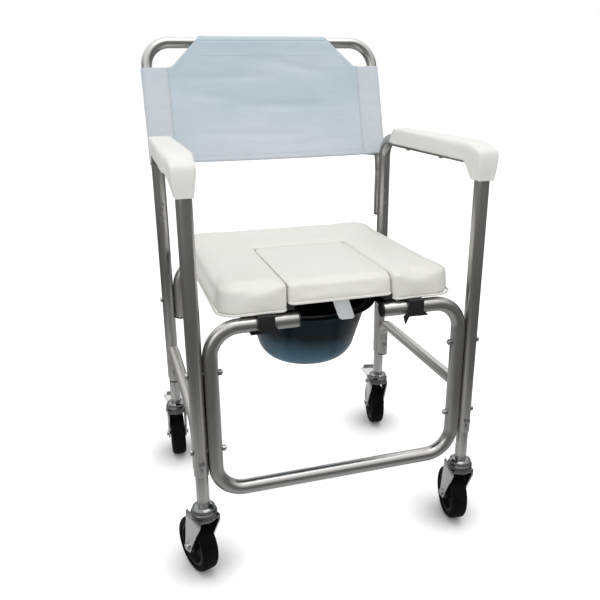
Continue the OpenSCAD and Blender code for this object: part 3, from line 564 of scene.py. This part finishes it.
def swell(piece, held, cap):
    """Inflates a closed mesh as sewn cloth. Held points stay, and no point moves further than cap."""
    rest = positions(piece)
    group = piece.vertex_groups.new(name="held")
    group.add([int(i) for i in np.flatnonzero(held)], 1.0, "REPLACE")
    cloth = piece.modifiers.new("Cloth", "CLOTH")
    cloth.settings.vertex_group_mass = group.name
    cloth.settings.use_pressure = True
    cloth.settings.uniform_pressure_force = CLOTH_PRESSURE
    cloth.settings.effector_weights.gravity = 0.0
    cloth.collision_settings.use_collision = False
    for number in range(1, CLOTH_FRAMES + 1):
        SCENE.frame_set(number)
    graph = bpy.context.evaluated_depsgraph_get()
    moved = positions(piece.evaluated_get(graph)) - rest
    SCENE.frame_set(1)
    piece.modifiers.remove(cloth)
    piece.vertex_groups.clear()
    far = np.linalg.norm(moved, axis=1, keepdims=True)
    set_positions(piece, rest + moved * np.minimum(1.0, cap / np.maximum(far, TINY)))


def remesh(piece, voxel):
    """Rebuilds a closed piece as an even skin of small quads."""
    skin = piece.modifiers.new("Remesh", "REMESH")
    skin.mode = "VOXEL"
    skin.voxel_size = voxel
    settle(piece)


def relax(piece, factor, rounds):
    smooth = piece.modifiers.new("Smooth", "SMOOTH")
    smooth.factor = factor
    smooth.iterations = rounds
    settle(piece)


def soften(piece, weights, rounds):
    """Draws each point toward the mean of its neighbours, as far as its weight says."""
    edges = np.zeros(len(piece.data.edges) * 2, dtype=np.int64)
    piece.data.edges.foreach_get("vertices", edges)
    ends = np.concatenate((edges.reshape(-1, 2), edges.reshape(-1, 2)[:, ::-1]))
    points = positions(piece)
    count = np.bincount(ends[:, 0], minlength=len(points))[:, None]
    for _ in range(rounds):
        total = np.zeros_like(points)
        np.add.at(total, ends[:, 0], points[ends[:, 1]])
        points += weights[:, None] * (total / np.maximum(count, 1) - points)
    set_positions(piece, points)


# Carried-over nodes: materials by slot, welded seams, soft edges and smooth shading

SMOOTH_ANGLE = math.radians(32)
WELD_GAP = 0.01 * MM
BEVEL_STEPS = 2
BEVEL_MM = {
    "tube": 0.25, "extension": 0.25, "fastener": 0.3, "black_plastic": 0.7, "tab": 0.3, "rail": 0.5,
    "pail": 0.6, "zinc": 0.5, "tyre": 0.5, "hub": 0.6, "seat_board": 0.8, "arm_pad": 1.0,
}


def finish_of(name, slot):
    """The material of a node: its slot's own, but for the caster races, the forks and the brace tubes."""
    if name.startswith("caster_race"):
        return RACE_METAL
    if name.startswith("caster_fork"):
        return FORK_METAL
    if name.startswith(("stretcher_left", "stretcher_right", "rear_crossbar")):
        return BRACE_METAL
    return MATERIALS[slot]


def dress_node(name, slot):
    node = frame["nodes"][name]
    node.data.materials.clear()
    node.data.materials.append(finish_of(name, slot))
    for polygon in node.data.polygons:
        polygon.use_smooth = True
    weld = node.modifiers.new("Weld", "WELD")
    weld.merge_threshold = WELD_GAP
    if slot in BEVEL_MM:
        bevel = node.modifiers.new("Soft edges", "BEVEL")
        bevel.width = BEVEL_MM[slot] * MM
        bevel.segments = BEVEL_STEPS
        bevel.limit_method = "ANGLE"
        bevel.angle_limit = SMOOTH_ANGLE
        bevel.harden_normals = False
    split = node.modifiers.new("Sharp edges", "EDGE_SPLIT")
    split.split_angle = SMOOTH_ANGLE
    split.use_edge_sharp = False


for subpart in frame["record"]["subparts"]:
    dress_node(subpart["node"], subpart["material_slot"])


# Back sling: coated cloth, sewn into sleeves on the posts and on the top bar

RECLINE = math.radians(17)
SLING_LEN = 250 * MM
CLOTH_T = 1.2 * MM
SLEEVE_SLACK = 0.9 * MM
WRAP_R = BRACE_R + SLEEVE_SLACK + CLOTH_T / 2
SLING_SAG = 15 * MM
SEAM_X = 209 * MM
TOP_SEAM = 30 * MM
TOP_HALF = 136 * MM
BAR_HALF = 147 * MM
CUT_X = 196 * MM
CUT_DROP = 49 * MM
POST_DROP = 55 * MM
HEM = 15 * MM
HEM_DROP = 0.3 * MM
HEM_T = 0.8 * CLOTH_T

CREASE_WIDTH = 8 * MM
CREASES = (
    # across, down and half length in metres, slant, depth in millimetres
    (0.05, 0.135, 0.12, 0.02, 2.8),
    (-0.10, 0.075, 0.10, -0.04, 2.6),
    (0.08, 0.055, 0.07, 0.18, 2.4),
    (-0.05, 0.195, 0.15, 0.03, 1.8),
    (0.10, 0.215, 0.09, -0.05, 1.6),
    (-0.13, 0.115, 0.06, 0.10, 1.8),
)

# Ripples of the cloth as depth, scale and seed
PANEL_RIPPLE = (1.2 * MM, 20.0, 3.0)
SLEEVE_RIPPLE = (0.8 * MM, 34.0, 5.0)
TOP_RIPPLE = (0.5 * MM, 30.0, 9.0)

# Points along and across the cloth
PANEL_GRID = (105, 57)
HEM_GRID = (71, 7)
SLEEVE_ROWS = 51
TOP_COLUMNS = 73
FRONT_STEPS = 12
WRAP_STEPS = 28
FLAP_STEPS = 8

# Rows of stitches: their lift off the cloth, distances from its edges and points
STITCH_RISE = 0.3 * MM
SEAM_LIFT = CLOTH_T / 2 + STITCH_RISE
SIDE_SEAM_OUT = 3 * MM
SIDE_SEAM_TOP = 3 * MM
SIDE_SEAM_END = 2 * MM
TOP_SEAM_OVERRUN = 18 * MM
CUT_SEAM_START = 4 * MM
CUT_SEAM_INSET = 7 * MM
HEM_SEAM_INSET = 2 * MM
SIDE_SEAM_POINTS = 60
TOP_SEAM_POINTS = 90
CUT_SEAM_POINTS = 40
HEM_SEAM_POINTS = 120


def in_back_plane(x, depth, z):
    """A point of the leaning back: depth is toward the back, z runs up the posts from the top bar."""
    return Vector((x, TOP_BAR_Y + depth * math.cos(RECLINE) + z * math.sin(RECLINE),
                   TOP_BAR_Z - depth * math.sin(RECLINE) + z * math.cos(RECLINE)))


def sling_top(x):
    """Height of the cloth's upper edge: level on the bar, cut straight to the posts, level over them."""
    across = abs(x)
    if across <= BAR_HALF:
        return 0.0
    if across <= CUT_X:
        return -CUT_DROP * (across - BAR_HALF) / (CUT_X - BAR_HALF)
    share = min((across - CUT_X) / (SEAM_X - CUT_X), 1.0)
    return -CUT_DROP - (POST_DROP - CUT_DROP) * share * (2 - share)


def creases(x, z):
    total = 0.0
    for across, down, half, slant, deep in CREASES:
        along = x - across
        off = -z - down - slant * along
        reach = math.exp(-(along / half) ** 2)
        total += deep * MM * reach * math.exp(-(off / CREASE_WIDTH) ** 2)
    return total


def sling_depth(x, z):
    """How far the cloth lies behind the front of its sleeves."""
    across = 1 - (x / LEG_X) ** 2
    down = min(max(-z / SLING_LEN, 0.0), 1.0)
    sag = SLING_SAG * down * (2 - down) * across
    return sag + across * (creases(x, z) + ripple(x, 0, z, *PANEL_RIPPLE) * down)


def cloth_front(x, z):
    """Depth of the cloth in the leaning back."""
    return -WRAP_R + sling_depth(x, z)


def make_panel():
    columns, rows = PANEL_GRID
    points = []
    for i in range(columns):
        x = grid_place(i, columns, SEAM_X)
        for j in range(rows):
            z = sling_top(x) + (-SLING_LEN - sling_top(x)) * j / (rows - 1)
            points.append(in_back_plane(x, cloth_front(x, z), z))
    faces = grid_faces(columns, rows)
    panel = new_piece("sling_panel", points, faces, MATERIALS["sling"], "frame")
    thicken(panel, CLOTH_T)
    return panel


def wrap_section(seam):
    """Cloth from the front of a tube at the origin round to a seam, as (outward, depth)."""
    end = Vector((-seam, -WRAP_R + CLOTH_T))
    toward = math.atan2(end.y, end.x) + math.tau
    last = toward - math.acos(WRAP_R / end.length)
    turns = np.linspace(-math.pi / 2, last, WRAP_STEPS)
    ring = [WRAP_R * Vector((math.cos(turn), math.sin(turn))) for turn in turns]
    return ring + [ring[-1].lerp(end, share) for share in np.linspace(0, 1, FLAP_STEPS + 1)[1:]]


def make_side_sleeve(side):
    name = "sling_sleeve_left" if side < 0 else "sling_sleeve_right"
    front = [Vector((x - LEG_X, -WRAP_R)) for x in np.linspace(SEAM_X, LEG_X, FRONT_STEPS + 1)[:-1]]
    section = front + wrap_section(LEG_X - SEAM_X)
    depth, scale, seed = SLEEVE_RIPPLE
    points = []
    for k, offset in enumerate(section):
        across = min(LEG_X + offset.x, LEG_X)
        top = sling_top(across)
        for j in range(SLEEVE_ROWS):
            z = top + (-SLING_LEN - top) * j / (SLEEVE_ROWS - 1)
            x = side * (LEG_X + offset.x)
            slack = ripple(x, offset.y, z, depth, scale, seed + side) * min(k / FRONT_STEPS, 1)
            points.append(in_back_plane(x + side * slack, offset.y + sling_depth(across, z), z))
    faces = grid_faces(len(section), SLEEVE_ROWS)
    sleeve = new_piece(name, points, faces, SLEEVE_CLOTH, "frame")
    thicken(sleeve, CLOTH_T)
    return sleeve


def make_top_sleeve():
    section = wrap_section(TOP_SEAM)
    points = []
    for offset in section:
        rise = min(max(offset.x / WRAP_R, 0.0), 1.0) if offset.y < 0 else 1.0
        half = BAR_HALF + (TOP_HALF - BAR_HALF) * rise
        for j in range(TOP_COLUMNS):
            x = grid_place(j, TOP_COLUMNS, half)
            slack = ripple(x, offset.y, offset.x, *TOP_RIPPLE) * rise
            sag = sling_depth(x, min(offset.x, 0.0))
            points.append(in_back_plane(x, offset.y + sag, offset.x + slack))
    faces = grid_faces(len(section), TOP_COLUMNS)
    sleeve = new_piece("sling_sleeve_top", points, faces, MATERIALS["sling"], "frame")
    thicken(sleeve, CLOTH_T)
    return sleeve


def make_hem():
    """The lower edge of the panel, folded to the back and sewn."""
    columns, rows = HEM_GRID
    points = []
    for i in range(columns):
        x = grid_place(i, columns, SEAM_X)
        for j in range(rows):
            z = -SLING_LEN - HEM_DROP + (HEM + HEM_DROP) * j / (rows - 1)
            points.append(in_back_plane(x, cloth_front(x, z) + CLOTH_T, z))
    faces = grid_faces(columns, rows)
    hem = new_piece("sling_hem", points, faces, MATERIALS["sling"], "frame")
    thicken(hem, HEM_T)
    return hem


def sew(name, spots):
    """A row of stitches through spots (x, z) on the front of the cloth."""
    path = [in_back_plane(x, cloth_front(x, z) - SEAM_LIFT, z) for x, z in spots]
    return stitch_row(name, path, "frame")


def side_seam(side):
    x = side * (SEAM_X + SIDE_SEAM_OUT)
    top = sling_top(x) - SIDE_SEAM_TOP
    return [(x, z) for z in np.linspace(top, -SLING_LEN + SIDE_SEAM_END, SIDE_SEAM_POINTS)]


def cut_seam(side):
    places = np.linspace(BAR_HALF + CUT_SEAM_START, SEAM_X, CUT_SEAM_POINTS)
    return [(side * x, sling_top(x) - CUT_SEAM_INSET) for x in places]


def top_seam():
    half = BAR_HALF + TOP_SEAM_OVERRUN
    return [(x, -TOP_SEAM) for x in np.linspace(-1, 1, TOP_SEAM_POINTS) * half]


def hem_seam():
    z = -SLING_LEN + HEM - HEM_SEAM_INSET
    return [(x, z) for x in np.linspace(-SEAM_X, SEAM_X, HEM_SEAM_POINTS)]


def make_sling():
    panel = make_panel()
    trim = [make_side_sleeve(-1), make_side_sleeve(1), make_top_sleeve(), make_hem()]
    for side, word in ((-1, "left"), (1, "right")):
        trim.append(sew("sling_seam_" + word, side_seam(side)))
        trim.append(sew("sling_cut_seam_" + word, cut_seam(side)))
    trim.append(sew("sling_seam_top", top_seam()))
    trim.append(sew("sling_seam_hem", hem_seam()))
    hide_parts("back_sling")
    return panel, trim


sling_panel, sling_trim = make_sling()


# Seat cushions: vinyl over foam, with a welt round the lower edge

VOXEL = 4 * MM
HELD_SHARE = 0.8
SIDE_INSET = 3 * MM
TOP_INSET = 4 * MM
SWELL_CAP = 5 * MM
FLAT_BAND = 1.2 * MM
FLAT_RISE = 0.2 * MM
EDGE_SOFTNESS = 0.5
EDGE_ROUNDS = 6
SEAT_CORNER = 33 * MM
MOUTH_CORNER = 9 * MM
HOLE_CORNER = 5 * MM
INSERT_CORNER = 9 * MM
HOLE_HALF = insert_high.x
HOLE_REAR = insert_high.y

# The channel between the seat and its insert
CHANNEL_GAP = 0.15 * MM
CHANNEL_INSET = 0.15 * MM
CHANNEL_REACH = 15 * MM
CHANNEL_FRONT = 24 * MM
CHANNEL_TIGHT = 0.88
CHANNEL_RISE = 2.4 * MM

WELT_R = 2.2 * MM
WELT_RISE = 2.6 * MM
WELT_INSET = 1.6 * MM
WELT_CHANNEL = 3 * MM

# Unevenness of the top as depth, scale and seed, and the pulls at the corners of the opening
SLOW_RIPPLE = (0.9 * MM, 9.0, 2.0)
FINE_RIPPLE = (0.45 * MM, 31.0, 4.0)
PULL_HEIGHT = 1.1 * MM
PULL_REACH = 34 * MM
PULL_START = 8 * MM
PULL_COUNT = 5


def seat_outline(inset, channel):
    half, hole = seat_high.x - inset, HOLE_HALF + CHANNEL_GAP + channel
    front, rear, back = seat_low.y + inset, seat_high.y - inset, HOLE_REAR + CHANNEL_GAP + channel
    return filleted([
        ((-half, front), SEAT_CORNER), ((-hole, front), MOUTH_CORNER), ((-hole, back), HOLE_CORNER),
        ((hole, back), HOLE_CORNER), ((hole, front), MOUTH_CORNER), ((half, front), SEAT_CORNER),
        ((half, rear), SEAT_CORNER), ((-half, rear), SEAT_CORNER)])


def insert_outline(inset, channel):
    half = HOLE_HALF - CHANNEL_GAP - channel
    front, rear = insert_low.y + inset, HOLE_REAR - CHANNEL_GAP - channel
    return filleted([((-half, front), MOUTH_CORNER), ((half, front), MOUTH_CORNER),
                     ((half, rear), INSERT_CORNER), ((-half, rear), INSERT_CORNER)])


def slab(outline, low, high):
    """Closed slab over an outline, as points and faces."""
    count = len(outline)
    points = [(p.x, p.y, low) for p in outline] + [(p.x, p.y, high) for p in outline]
    faces = [tuple(reversed(range(count))), tuple(range(count, 2 * count))]
    faces += [(k, (k + 1) % count, count + (k + 1) % count, count + k) for k in range(count)]
    return points, faces


def seat_wrinkles(points):
    """Soft unevenness of the top and shallow pulls at the inner corners of the opening."""
    shift = np.zeros(len(points))
    for k, (x, y, _) in enumerate(points):
        soft = ripple(x, y, 0, *SLOW_RIPPLE) + ripple(x, y, 0, *FINE_RIPPLE)
        for side in (-1, 1):
            dx, dy = x - side * HOLE_HALF, y - HOLE_REAR
            far = math.hypot(dx, dy)
            fold = math.cos(PULL_COUNT * math.atan2(dy, dx * side)) * math.exp(-(far / PULL_REACH) ** 2)
            soft += PULL_HEIGHT * fold * min(far / PULL_START, 1.0)
        shift[k] = soft
    return shift


def from_hole(shape):
    """Distance of each point from the edge of the seat's opening, in plan."""
    beside = np.abs(shape[:, 0]) - HOLE_HALF
    behind = shape[:, 1] - HOLE_REAR
    outside = np.hypot(np.maximum(beside, 0), np.maximum(behind, 0))
    return np.where((beside < 0) & (behind < 0), -np.maximum(beside, behind), outside)


def tighten(shape, start, low, high):
    """Brings the rolled edges beside the channel back toward the straight walls that they started from."""
    near = np.clip(1 - from_hole(start) / CHANNEL_REACH, 0, 1)
    from_front = np.clip((start[:, 1] - start[:, 1].min()) / CHANNEL_FRONT, 0, 1)
    weight = CHANNEL_TIGHT * near * near * (3 - 2 * near) * from_front ** 2
    target = start.copy()
    target[:, 2] += CHANNEL_RISE * np.clip((start[:, 2] - low) / (high - TOP_INSET - low), 0, 1)
    return shape + weight[:, None] * (target - shape)


def clear_of_insert(shape):
    """Moves the seat's points out of the opening."""
    near = shape[:, 1] < HOLE_REAR
    inner = (np.abs(shape[:, 0]) < HOLE_HALF + CHANNEL_GAP) & near
    shape[inner, 0] = np.sign(shape[inner, 0]) * (HOLE_HALF + CHANNEL_GAP)
    return shape


def inside_hole(shape):
    """Moves the insert's points into the opening."""
    limit = HOLE_HALF - CHANNEL_GAP
    shape[:, 0] = np.clip(shape[:, 0], -limit, limit)
    shape[:, 1] = np.minimum(shape[:, 1], HOLE_REAR - CHANNEL_GAP)
    return shape


def pad_piece(name, outline, low, high, keep_clear, body):
    """A cushion: a slab, inflated as cloth, drawn tight beside the channel and wrinkled on top."""
    points, faces = slab(outline(SIDE_INSET, CHANNEL_INSET), low, high - TOP_INSET)
    piece = placed(name, mesh_of(name, points, faces))
    remesh(piece, VOXEL)
    start = positions(piece)
    held = start[:, 2] < low + HELD_SHARE * VOXEL
    relax(piece, factor=0.5, rounds=3)
    swell(piece, held, SWELL_CAP)
    shape = keep_clear(tighten(positions(piece), start, low, high))
    top = np.clip((shape[:, 2] - low) / (high - low), 0, 1)
    shape[:, 2] += seat_wrinkles(shape) * top ** 2
    shape[:, 2] = np.where(shape[:, 2] < low + FLAT_BAND, low + FLAT_RISE, shape[:, 2])
    set_positions(piece, shape)
    open_edge = np.clip(from_hole(shape) / CHANNEL_REACH, 0, 1) * (shape[:, 2] > low + WELT_R)
    soften(piece, EDGE_SOFTNESS * open_edge, EDGE_ROUNDS)
    relax(piece, factor=0.3, rounds=1)
    refine(piece)
    finish_piece(piece, MATERIALS["seat_vinyl"], body)
    return piece


def make_welt(name, outline, low, body):
    path = [(p.x, p.y, low + WELT_RISE) for p in outline(WELT_INSET, WELT_CHANNEL)]
    bead(name, path, WELT_R, MATERIALS["seat_vinyl"], body)


def make_seat():
    cushion = pad_piece("seat_cushion_pad", seat_outline, seat_low.z, seat_high.z, clear_of_insert, "seat")
    insert = pad_piece("insert_cushion_pad", insert_outline, insert_low.z, insert_high.z, inside_hole,
                       "seat_insert")
    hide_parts("seat_cushion")
    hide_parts("insert_cushion")
    make_welt("seat_welt", seat_outline, seat_low.z, "seat")
    make_welt("insert_welt", insert_outline, insert_low.z, "seat_insert")


make_seat()


# Arm pads: the moulded form of the nodes with rounded edges, a slim nose and a slanted rear end

PAD_VOXEL = 2.2 * MM
PAD_HEIGHT = 28 * MM
NOSE_KEEP = 14 * MM
NOSE_RUN = 50 * MM
NOSE_DIP = 6 * MM
NOSE_SOFTNESS = 0.5
NOSE_ROUNDS = 40
SLEEVE_RUN = 62 * MM
REAR_RUN = 46 * MM
REAR_SLANT = 22 * MM

# Shares by which the nose is drawn in, at the top of the pad and down its sleeve
SLIM_SHARES = (0.42, 0.8)
SHORT_SHARES = (0.5, 0.85)


def toward_nose(shape):
    """1 from the leg forward, falling to 0 along the pad."""
    return np.clip((side_low.y + TUBE_R + NOSE_RUN - shape[:, 1]) / NOSE_RUN, 0, 1)


def toward_top(shape):
    """1 at the top of the pad, falling to 0 at its underside."""
    return np.clip((shape[:, 2] - shape[:, 2].max() + PAD_HEIGHT) / PAD_HEIGHT, 0, 1)


def slimmed(shape, centre):
    """Draws the nose in toward the leg at centre, and leans the rear end with the bend of the arm tube."""
    front = side_low.y + TUBE_R
    high = shape.max(axis=0)
    offset = shape[:, 0] - centre
    ahead = toward_nose(shape)
    rise = toward_top(shape)
    behind = np.clip((shape[:, 1] - high[1] + REAR_RUN) / REAR_RUN, 0, 1)
    sunk = np.clip((high[2] - shape[:, 2]) / SLEEVE_RUN, 0, 1)
    slim = np.interp(sunk, (0, 1), SLIM_SHARES)
    short = np.interp(sunk, (0, 1), SHORT_SHARES)
    shape[:, 0] -= np.sign(offset) * np.maximum(np.abs(offset) - NOSE_KEEP, 0) * slim * ahead
    shape[:, 1] += short * np.maximum(front - NOSE_KEEP - shape[:, 1], 0)
    shape[:, 1] -= REAR_SLANT * behind * rise
    shape[:, 2] -= NOSE_DIP * ahead ** 2 * rise
    return shape


def make_arm_pad(side, centre):
    piece = placed("arm_pad_skin_" + side, frame["nodes"]["arm_pad_" + side].data.copy())
    remesh(piece, PAD_VOXEL)
    set_positions(piece, slimmed(positions(piece), centre))
    shape = positions(piece)
    soften(piece, NOSE_SOFTNESS * toward_nose(shape) * toward_top(shape), NOSE_ROUNDS)
    relax(piece, factor=0.5, rounds=10)
    finish_piece(piece, MATERIALS["arm_pad"], "frame")
    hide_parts("arm_pad_" + side)


make_arm_pad("left", -LEG_X)
make_arm_pad("right", LEG_X)


# Floor, light and camera

FLOOR_SIZE = 60.0
FLOOR_COLOUR = rgb(0.82, 0.82, 0.82)
FLOOR_LIFT = 0.56
CONTACT_REACH = 0.085
CONTACT_POWER = 2.8

# The floor as the metal mirrors it: lit in the middle, with rings that fade in from one radius to another
LIT_CENTRE = Vector((0.0, 0.15, 0.0))
LIT_FLOOR = rgb(0.70, 0.70, 0.70)
DARK_FLOOR = rgb(0.14, 0.14, 0.14)
FAR_FLOOR = rgb(0.28, 0.28, 0.28)
FLOOR_RINGS = ((DARK_FLOOR, 0.35, 1.05), (FAR_FLOOR, 1.9, 2.5))

# Levels of the world. A glow fades in between two cosines of the angle to its direction
AMBIENT = 0.74
ROOM_LEVEL = 0.13
CEILING_LEVEL = 1.15
CEILING_FADE = (0.15, 0.8)
BACKDROP_LEVEL = 0.45
BACKDROP_FADE = (0.0, 0.8)

LAMPS = {
    "top_softbox": {"place": (0.2, -0.3, 2.7), "target": (0, 0, 0.4), "size": (1.7, 1.7), "power": 17},
    "left_softbox": {"place": (-2.1, -1.5, 1.5), "target": (0, 0, 0.5), "size": (1.2, 1.6), "power": 7},
}


def rays(tree, *names):
    """1 on rays of any of the named kinds, else 0."""
    path = tree.nodes.new("ShaderNodeLightPath")
    total = path.outputs[names[0]]
    for name in names[1:]:
        total = linked(tree, "Math", {0: total, 1: path.outputs[name]}, operation="MAXIMUM").outputs[0]
    return total


def make_floor():
    """A pale floor, lifted to white for the camera but for the contact shadows, and darker in the metal."""
    half = FLOOR_SIZE / 2
    corners = [(-half, -half, 0), (half, -half, 0), (half, half, 0), (-half, half, 0)]
    mesh = mesh_of("floor", corners, [(0, 1, 2, 3)])
    floor = placed("floor", mesh)
    material = bpy.data.materials.new("pale_floor")
    material.use_nodes = True
    tree = material.node_tree
    tree.nodes.clear()
    seen = rays(tree, "Is Camera Ray", "Is Transmission Ray")
    near = linked(tree, "AmbientOcclusion", {"Distance": CONTACT_REACH}).outputs["AO"]
    contact = linked(tree, "Math", {0: near, 1: CONTACT_POWER}, operation="POWER").outputs[0]
    glow = linked(tree, "Math", {0: seen, 1: FLOOR_LIFT}, operation="MULTIPLY").outputs[0]
    glow = linked(tree, "Math", {0: glow, 1: contact}, operation="MULTIPLY").outputs[0]
    lift = linked(tree, "Emission", {"Strength": glow}).outputs[0]
    pale = linked(tree, "BsdfDiffuse", {"Color": FLOOR_COLOUR}).outputs[0]
    open_floor = linked(tree, "AddShader", {0: pale, 1: lift}).outputs[0]
    place = tree.nodes.new("ShaderNodeTexCoord").outputs["Object"]
    far = linked(tree, "VectorMath", {0: place, 1: LIT_CENTRE}, operation="DISTANCE").outputs["Value"]
    in_metal = linked(tree, "BsdfDiffuse", {"Color": LIT_FLOOR}).outputs[0]
    for colour, start, end in FLOOR_RINGS:
        edges = {"Value": far, "From Min": start, "From Max": end}
        fade = linked(tree, "MapRange", edges, interpolation_type="SMOOTHSTEP").outputs["Result"]
        ring = linked(tree, "BsdfDiffuse", {"Color": colour}).outputs[0]
        in_metal = linked(tree, "MixShader", {0: fade, 1: in_metal, 2: ring}).outputs[0]
    mirrored = rays(tree, "Is Glossy Ray")
    both = linked(tree, "MixShader", {0: mirrored, 1: open_floor, 2: in_metal}).outputs[0]
    linked(tree, "OutputMaterial", {"Surface": both})
    mesh.materials.append(material)


def make_world():
    """White to the camera, a plain level for the light, and a room with a bright ceiling for the metal."""
    world = bpy.data.worlds.new("studio")
    SCENE.world = world
    world.use_nodes = True
    tree = world.node_tree
    tree.nodes.clear()
    place = tree.nodes.new("ShaderNodeTexCoord").outputs["Generated"]

    def glow_toward(direction, fade, level):
        pair = {0: place, 1: direction}
        along = linked(tree, "VectorMath", pair, operation="DOT_PRODUCT").outputs["Value"]
        edges = {"Value": along, "From Min": fade[0], "From Max": fade[1], "To Min": 0.0, "To Max": level}
        return linked(tree, "MapRange", edges, interpolation_type="SMOOTHSTEP").outputs["Result"]

    ceiling = glow_toward(Vector((0, 0, 1)), CEILING_FADE, CEILING_LEVEL)
    backdrop = glow_toward(Vector((0, 1, 0)), BACKDROP_FADE, BACKDROP_LEVEL)
    room = linked(tree, "Math", {0: ceiling, 1: backdrop}, operation="ADD").outputs[0]
    room = linked(tree, "Math", {0: room, 1: ROOM_LEVEL}, operation="ADD").outputs[0]
    seen = rays(tree, "Is Camera Ray", "Is Transmission Ray")
    shown = linked(tree, "Math", {0: room, 1: seen}, operation="MAXIMUM").outputs[0]
    light = linked(tree, "Background", {"Strength": AMBIENT}).outputs[0]
    mirror = linked(tree, "Background", {"Strength": shown}).outputs[0]
    for background in (light.node, mirror.node):
        background.inputs["Color"].default_value = rgb(1.0, 1.0, 1.0)
    direct = rays(tree, "Is Camera Ray", "Is Transmission Ray", "Is Glossy Ray")
    choice = linked(tree, "MixShader", {0: direct, 1: light, 2: mirror}).outputs[0]
    linked(tree, "OutputWorld", {"Surface": choice})


def area_lamp(name, place, target, size, power):
    lamp = bpy.data.lights.new(name, "AREA")
    lamp.shape = "RECTANGLE"
    lamp.size, lamp.size_y = size
    lamp.energy = power
    holder = placed(name, lamp)
    holder.location = place
    holder.rotation_euler = (Vector(target) - Vector(place)).to_track_quat("-Z", "Y").to_euler()


def make_camera():
    yaw, pitch, roll = VIEW_YAW, VIEW_PITCH, VIEW_ROLL
    ahead = Vector((math.sin(yaw) * math.cos(pitch), math.cos(yaw) * math.cos(pitch), -math.sin(pitch)))
    level = Vector((math.cos(yaw), -math.sin(yaw), 0))
    above = level.cross(ahead)
    right = math.cos(roll) * level + math.sin(roll) * above
    up = math.cos(roll) * above - math.sin(roll) * level
    data = bpy.data.cameras.new("photo_camera")
    data.sensor_width = SENSOR_MM
    data.sensor_fit = "HORIZONTAL"
    data.lens = SENSOR_MM * FOCAL_PX / IMAGE_PX
    camera = placed("photo_camera", data)
    turn = Matrix((right, up, -ahead)).transposed()
    camera.matrix_world = Matrix.Translation(VIEW_FROM_MID + Vector((0, MID_Y, 0))) @ turn.to_4x4()
    SCENE.camera = camera


make_floor()
make_world()
for lamp_name, lamp_settings in LAMPS.items():
    area_lamp(lamp_name, **lamp_settings)
make_camera()
SCENE.view_settings.view_transform = "Standard"
